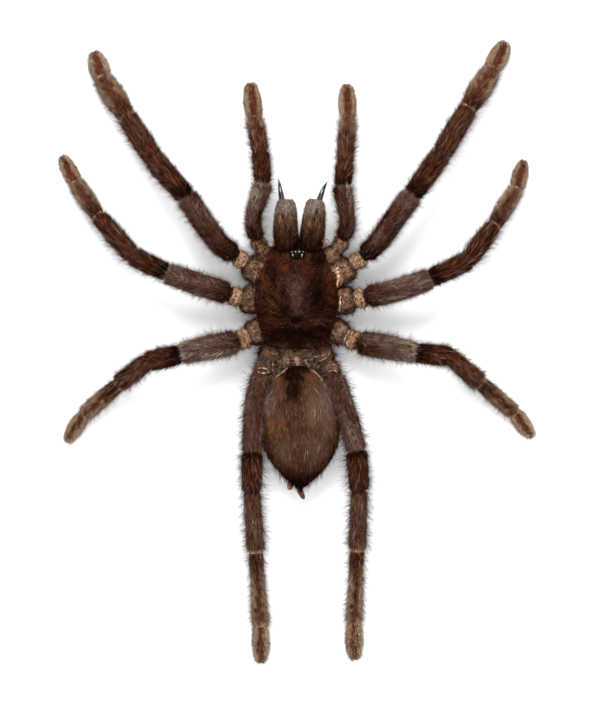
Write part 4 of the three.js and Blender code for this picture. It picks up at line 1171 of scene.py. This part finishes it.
def bald(grid, reach=0.45):
    """1 beside a strand and 0 away from it, so that no hair grows over the strands."""
    near = np.zeros(grid.shape[:2])
    rows = np.nonzero((grid[..., 1].max(1) > BEHIND[0]) & (grid[..., 1].min(1) < BEHIND[1]))[0]
    gap = ((grid[rows][:, :, None, :2] - strand_points) ** 2).sum(-1).min(-1)
    near[rows] = np.exp(-gap / reach ** 2)
    return near


# %% [markdown]
# ## Hair
#
# The whole animal is hairy, and most of its colour is in the hair. A short pile lies along the skin, and long
# curved bristles stand out of it. The limbs also have a fringe on both sides and a few stout pale straws.
# Hair curves would be lost on export, so each hair is a thin closed spike of mesh: four triangles for a
# straight one and ten for a curved one. A hair's tone is its u on the texture map and its length is v, so one
# material colours them all.

# %% Spikes
CEILING, FLOOR = 13.2, 0.01  # no hair stands above the one, a little over the solids, or below the other
TONE_WIDTH = 0.004
STRAIGHT = {"faces": [(0, 1, 3), (1, 2, 3), (2, 0, 3), (0, 2, 1)], "along": [0.02, 0.02, 0.0, 1.0],
            "sideways": [-1, 1, 0, 0]}
CURVED = {"faces": [(0, 1, 4), (0, 4, 3), (1, 2, 5), (1, 5, 4), (2, 0, 3), (2, 3, 5), (3, 4, 6), (4, 5, 6),
                    (5, 3, 6), (0, 2, 1)],
          "along": [0.02, 0.02, 0.0, 0.5, 0.5, 0.48, 1.0], "sideways": [-1, 1, 0, -1, 1, 0, 0]}


def ring_of(middle, way, radius):
    """Three points around `middle`, square to `way`."""
    level = unit(np.stack([-way[:, 1], way[:, 0], 0.02 + 0 * way[:, 0]], -1))
    other = np.cross(way, level)
    angles = 2 * np.pi * np.arange(3) / 3
    return middle[:, None] + radius[:, None, None] * (level[:, None] * np.cos(angles)[None, :, None]
                                                      + other[:, None] * np.sin(angles)[None, :, None])


def spikes(roots, way, turn, length, radius, tone, curved):
    """Closed spikes from `roots`. A straight one is root + way length. A curved one goes half its length along
    way and the other half along turn, and keeps two thirds of its radius at the bend."""
    form = CURVED if curved else STRAIGHT
    points = [ring_of(roots, way, radius)]
    tip = roots + way * length[:, None]
    if curved:
        bend = roots + way * length[:, None] / 2
        tip = bend + turn * length[:, None] / 2
        points.append(ring_of(bend, way + turn, radius * 0.66))
    points = np.concatenate([*points, tip[:, None]], axis=1)
    points[..., 2] = np.clip(points[..., 2], FLOOR, CEILING)
    size = points.shape[1]
    faces = (np.array(form["faces"])[None] + size * np.arange(len(roots))[:, None, None]).reshape(-1, 3)
    u = np.clip(tone, 0.01, 0.99)[:, None] + TONE_WIDTH * np.array(form["sideways"])
    uv = np.stack([u, np.broadcast_to(form["along"], u.shape)], -1).reshape(-1, 2)
    return points.reshape(-1, 3), [faces], [uv[faces]], {}


def frame_of(grid):
    """Unit vectors over a grid: along the rows, and square to the skin pointing out."""
    along = np.gradient(grid, axis=0)
    out = np.cross(along, np.roll(grid, -1, axis=1) - np.roll(grid, 1, axis=1))
    inside = grid.mean(axis=1, keepdims=True)
    out *= np.sign((out * (grid - inside)).sum(-1).sum(1))[:, None, None]
    return unit(along, 1e-9), unit(out, 1e-9)


def coat(fur, density, length, lift, tone, seed, hair, curved=False):
    """Hairs over a skin. fur is its grid, the way that the hair is combed and the way out of the skin, and
    hair is the radius and how much the hairs stray and differ in tone. `density` is hairs per square mm, and
    any of them may vary over the grid. A hair leaves the skin at the angle `lift` from the way it is combed,
    and a curved one comes back down towards it."""
    grid, along, out = fur
    radius, spread, tone_spread = hair
    random = np.random.default_rng(seed)
    down = np.diff(grid, axis=0)
    over = (np.roll(grid, -1, axis=1) - grid)[:-1]
    area = np.linalg.norm(np.cross(down, over), axis=-1)
    wanted = area * np.broadcast_to(density, grid.shape[:2])[:-1]
    count = np.floor(wanted + random.uniform(size=wanted.shape)).astype(int)
    r, k = np.nonzero(count)
    r, k = np.repeat(r, count[r, k]), np.repeat(k, count[r, k])
    a, b = random.uniform(size=(2, len(r), 1))
    n = (k + 1) % grid.shape[1]

    def number(values):
        return at_places(np.broadcast_to(values, grid.shape[:2])[..., None], r, k, n, a, b)[:, 0]

    roots, forward, away = (at_places(values, r, k, n, a, b) for values in (grid, along, out))
    forward = unit(forward - away * (forward * away).sum(1, keepdims=True), 1e-9)  # laid flat on the skin
    angle = np.clip(number(lift) * random.uniform(0.5, 1.5, len(r)), 0, 1.5)[:, None]
    stray = spread * random.normal(size=(len(r), 3))
    way = unit(forward * np.cos(angle) + away * np.sin(angle) + stray)
    turn = unit(forward * np.cos(0.35 * angle) + away * np.sin(0.35 * angle) + 0.8 * stray)
    lengths = number(length) * random.uniform(0.6, 1.3, len(r))
    tones = number(tone) + number(tone_spread) * random.normal(size=len(r))
    radii = number(radius) * random.uniform(0.7, 1.25, len(r))
    return spikes(roots - 0.04 * away, way, turn, lengths, radii, tones, curved)


# %% Hair material
HAIR_TONES = [(0.0, (12, 5, 3)), (0.16, (48, 20, 10)), (0.34, (118, 62, 35)), (0.45, (138, 94, 68)),
              (0.54, (134, 106, 96)), (0.7, (152, 132, 126)), (0.83, (200, 168, 130)),
              (0.93, (228, 204, 172)), (1.0, (250, 238, 220))]


def hair_skin():
    """Tone from u, darker at the root and lighter at the tip, read from the hair's own texture map."""
    paint = Paint("hair", specular=0.0)
    place = paint.node("ShaderNodeUVMap", {"uv_map": "OFBake"})
    across, tip = (paint.node("ShaderNodeSeparateXYZ", {}, {0: place}, axis) for axis in ("X", "Y"))
    tone = paint.node("ShaderNodeValToRGB", {"stops": HAIR_TONES}, {"Fac": across})
    paint.join(paint.mix((1 - tip) * 0.35, tone, (20, 12, 8)), paint.shader.inputs["Base Color"])
    paint.join(0.7, paint.shader.inputs["Roughness"])
    return paint.material


HAIR = hair_skin()
hair_triangles = []


def hair_piece(name, hairs, slot):
    points, faces, maps, marks = joined(hairs)
    hair_triangles.append(sum(len(f) for f in faces))
    mesh_piece(name, points, faces, maps, marks, HAIR, slot)


# %% Limb hair
HAIRS = {  # for each segment in turn: hairs per square mm, length, lift and tone
    "pile": [(19, 0.7, 0.45, 0.55), (9, 0.6, 0.5, 0.55), (26, 1.4, 0.24, 0.52), (18, 1.4, 0.16, 0.22),
             (18, 1.5, 0.16, 0.28), (16, 1.0, 0.24, 0.42), (17, 0.7, 0.36, 0.54)],
    "bristles": [(0.8, 1.5, 0.9, 0.2), (1.4, 1.2, 0.9, 0.4), (1.6, 1.9, 0.75, 0.4), (1.6, 2.1, 0.65, 0.4),
                 (1.8, 2.2, 0.65, 0.45), (1.4, 1.9, 0.65, 0.5), (0.3, 1.0, 0.6, 0.5)],
    "fringe": [(9, 1.6, 0.9, 0.06), (7, 1.4, 0.9, 0.14), (8.5, 2.1, 1.1, 0.2), (7, 2.1, 1.05, 0.22),
               (7, 2.2, 1.05, 0.26), (7, 1.7, 0.95, 0.34), (3, 0.8, 0.7, 0.5)],
    "straws": [(0, 1, 0.2, 0.7), (0, 1, 0.2, 0.7), (0.4, 2.4, 0.2, 0.66), (0.5, 2.8, 0.12, 0.72),
               (0.7, 3.4, 0.12, 0.76), (0.5, 2.4, 0.16, 0.74), (0.1, 1.2, 0.2, 0.7)],
}
LONGER = {"leg_4": 1.5, "leg_3": 1.1}  # the last legs have the longest fringe
PALER = {  # how much lighter the thigh of a limb is than the others
    "leg_1_left": -0.2, "leg_1_right": -0.18, "leg_2_left": 0.0, "leg_2_right": 0.06, "leg_3_left": 0.22,
    "leg_3_right": 0.15, "leg_4_left": 0.0, "leg_4_right": -0.04, "palp_left": 0.12, "palp_right": 0.0,
}
SHINS = {"palp": 0.1, "leg_1": -0.06, "leg_2": -0.14, "leg_3": 0.05, "leg_4": 0.18}  # the same for the tibia
TOES = {"palp": 0.04, "leg_1": 0.06, "leg_2": 0.02, "leg_3": 0.15, "leg_4": 0.18}  # and for the tarsus
HALF_SEEN = 0.55  # the share of the hair that grows underneath


def limb_coats(name, seed):
    """The pile, the bristles, the fringe and the straws of one limb. Tufts make the tone change in streaks,
    and the hair is combed outwards from the middle of the back of the limb."""
    grid, out, _, facts, masks = coats[name]
    along, normal = frame_of(grid)
    kind, pad, dark, rise = kind_of(name), masks["pad"], masks["dark"], facts["rise"]
    coxa, neck, femur, patella, tibia, _, tarsus = (facts["segment"] == key for key in LEG_SEGMENTS)
    index = np.argmax(facts["segment"][..., None] == np.array(list(LEG_SEGMENTS)), axis=-1)
    tables = {key: np.moveaxis(np.array(rows)[index], -1, 0) for key, rows in HAIRS.items()}

    def waves(stretch, size, seed):
        return lumps(facts["fibre"] * (stretch, 1, 1), size, seed)

    sway = 0.1 + 0.3 * waves(0.5, 2.6, seed + 5)
    drift = 0.22 * waves(0.5, 2.2, seed + 6)
    combed = along + sway[..., None] * out * (1, 1, 0) + drift[..., None] * np.cross(along, (0, 0, 1))
    fur = grid, combed, normal
    under = 1 - (1 - HALF_SEEN) * step(0.3, 0.8, -rise)
    first = coxa | neck
    furry = first * (kind == "leg_4")
    tuft = waves(0.35, 0.5, seed) + 0.6 * waves(0.6, 0.3, seed)
    band = waves(0.18, 1.9, seed + 7)
    clear = highest(*[np.roll(masks["cream"], -rows, axis=0) for rows in (0, 2, 4)])

    density, length, lift, tone = tables["pile"]
    fading = 0.2 if kind == "leg_1" else 0.08
    tone = tone + fading * femur * (step(0.2, 0.9, facts["t"]) - 0.35) - 0.05 * furry
    tone = tone + femur * PALER[name] + tibia * SHINS[kind]
    if kind == "palp":
        tone = tone + 0.3 * femur * (masks["pile"] - 0.45)
    # darker hair over dark, which includes painted shade under the limb and on the sides of the coxa
    tone = tone * (1 - pad) + 0.78 * pad - 0.34 * dark - 0.2 * masks["rust"] + TOES[kind] * tarsus
    tone = tone + 0.15 * tuft * (1 - 0.2 * pad) + (0.11 + 0.05 * femur) * band * (1 - first)
    density = density * under * (1 - clear) * (1 - 0.5 * masks["rust"]) * (1 - 0.8 * masks["ball"])
    if kind == "leg_4":
        density = density * (1 - 0.9 * bald(grid))
    pile_hair = (np.where(first | tarsus, 0.05, 0.04), 0.3,
                 0.16 * np.where(patella | tibia | femur, 0.8, 1.2))
    short = coat(fur, density * (1 - 0.4 * furry), length + 0.5 * furry, lift + 0.4 * pad, tone, seed,
                 pile_hair)

    density, length, lift, tone = tables["bristles"]
    density = (density + 2 * furry) * (1 - 0.6 * pad) * under * (1 - 0.8 * clear)
    bristles = coat(fur, density, length, lift, tone + 0.2 * furry, seed + 100, (0.034, 0.28, 0.2),
                    curved=True)

    density, length, lift, tone = tables["fringe"]
    density = density * step(0.7, 0.95, np.abs(facts["side"])) * step(-0.75, -0.3, rise)
    length = length * LONGER.get(kind, 1.0)
    fringe = coat((grid, along, normal), density, length, lift, tone + 0.3 * pad, seed + 300,
                  (0.03, 0.32, 0.16))

    density, length, lift, tone = tables["straws"]
    density = density * step(-0.2, 0.2, rise) * (1 - 0.8 * dark)
    straws = coat(fur, density, length, lift, tone, seed + 200, (0.038, 0.12, 0.1), curved=True)
    return [short, bristles, fringe, straws]


for seed, name in enumerate(LIMBS, 211):
    hair_piece(f"{NODE_OF[name]}_hair", limb_coats(name, seed), "limbs")

# %% Abdomen hair
fur = abdomen_grid, *frame_of(abdomen_grid)
y, z = abdomen_grid[..., 1], abdomen_grid[..., 2]
level = step(0.5, 4.0, z)
black, orange, olive, pale = (abdomen_values[key] for key in ("black", "orange", "olive", "pale"))
tone = 0.34 + 0.24 * olive - 0.4 * black - 0.04 * orange + 0.06 * lumps(abdomen_grid * (1, 0.25, 1), 0.8, 303)
dense = (12 * level + 2) * (1 - 0.9 * pale) * (1 - 0.4 * orange) * (1 - 0.8 * bald(abdomen_grid))
short = coat(fur, dense, 1.4, 0.16, tone, 301, (0.042, 0.16, 0.13))
# the long hair is darker along the outline and at the rear: dark fringe hair, and partly painted shade where
# the sides turn away
fringe = np.maximum(step(-20, -27, y), 0.8 * bell(z - ABDOMEN_HEIGHT, 2.2) * step(-10, -20, y))
tone = tone + 0.34 - 0.55 * fringe - 0.3 * black * (1 - fringe)
long = coat(fur, (0.5 + 3.2 * fringe) * level + 0.1, 1.8 + 0.7 * fringe, 0.22 + 0.45 * fringe, tone, 302,
            (0.036, 0.2, 0.16), curved=True)
hair_piece("abdomen_hair", [short, long], "abdomen")

# %% Waist hair
waist_coats = []
for seed, (grid, row) in enumerate(zip(bulges, LOOSE_SKIN), 331):
    normal = frame_of(grid)[1]
    back = unit(normal * 0.2 + (0, -1, 0))
    inward = normal * 0.1 + (-0.8 * np.sign(row[0][0]), -0.6, 0)
    high = step(row[0][2] - 0.5, row[0][2] + 0.5, grid[..., 2])
    waist_coats += [
        coat((grid, back, normal), (4 * high + 2) * (1 - 0.8 * bald(grid)), 1.1, 0.5, 0.4, seed,
             (0.045, 0.5, 0.24)),
        coat((grid, back, normal), 2.0 * high, 2.2, 0.6, 0.62, seed + 10, (0.045, 0.6, 0.2), curved=True),
        coat((grid, inward, normal), 1.2 * high, 2.4, 0.4, 0.84, seed + 20, (0.06, 0.35, 0.08), curved=True)]
hair_piece("waist_hair", waist_coats, "waist")

# %% Shield hair
x, y = np.moveaxis(shield_grid - (BODY_X, 0, 0), -1, 0)[:2]
away = unit(np.stack([x, y - PIT_Y, 0 * x], -1), 1e-6)
normal = frame_of(shield_grid)[1]
ring = np.arange(len(shield_grid))[:, None]
upper = ring < SHIELD_RINGS  # the rings of the shield itself
normal = np.where(upper[..., None] & (normal[..., 2:] < 0), -normal, normal)
fur = shield_grid, away, normal
mauve, gold, black, rust = (shield_values[key] for key in ("mauve", "gold", "black", "rust"))
# the hair is darker over black, which includes painted shade in the pit, furrows and grooves
tone = 0.11 + 0.3 * mauve + 0.15 * gold - 0.2 * black + 0.1 * rust
tone = tone + 0.05 * lumps(shield_grid, 1.6, 313) + 0.08 * lumps(shield_values["fibre"], 0.9, 314)
short = coat(fur, (11 + 8 * mauve) * upper * (1 - 0.35 * rust), 0.9, 0.25, tone, 311, (0.05, 0.4, 0.18))
rim = upper * step(0.86, 1.0, ring / SHIELD_RINGS)
long = coat(fur, 0.4 * upper + 3.5 * rim, 1.5, 0.45, tone + 0.1, 312, (0.036, 0.45, 0.14), curved=True)
hair_piece("shield_hair", [short, long], "shield")

# %% Jaw hair
for seed, (side, (grid, values)) in enumerate(jaws.items(), 321):
    fur = grid, *frame_of(grid)
    velvet, y = values["velvet"], grid[..., 1]
    # the hair is darker over dark, the painted shade at the base and over the slit
    tone = 0.4 + 0.2 * velvet - 0.32 * values["dark"] + 0.07 * lumps(values["fibre"], 1.2, seed)
    inner = (1 if side == "left" else -1) * (grid - grid.mean(axis=1, keepdims=True))[..., 0]
    facing = step(1.5, 2.2, inner) * step(23.5, 26.0, y)  # the sides that face each other across the gap
    dense = (14 * (1 - 0.6 * (values["dark"] > 0.93)) + 10 * velvet) * (1 - 0.8 * facing)
    behind = highest(*[np.roll(values["slit"], rows, axis=0) for rows in (-6, -3, 0)])
    dense = dense * (1 - behind)  # nothing grows in the slit or lies over it
    between = step(1.4, 2.2, inner) * (1 - step(23.5, 25.5, y))
    hair_piece(f"chelicera_{side}_hair", [
        coat(fur, dense, 0.9 - 0.45 * velvet, 0.3 + 0.5 * velvet, tone, seed,
             (0.048, 0.22, 0.18 + 0.06 * velvet)),
        coat(fur, (1.4 - 0.9 * velvet) * (1 - facing), 1.5, 0.35, tone + 0.1, seed + 10, (0.036, 0.2, 0.16),
             curved=True),
        coat(fur, 22 * between, 1.1, 0.8, 0.04, seed + 20, (0.05, 0.3, 0.05))], "jaws")
print("hair triangles:", sum(hair_triangles))
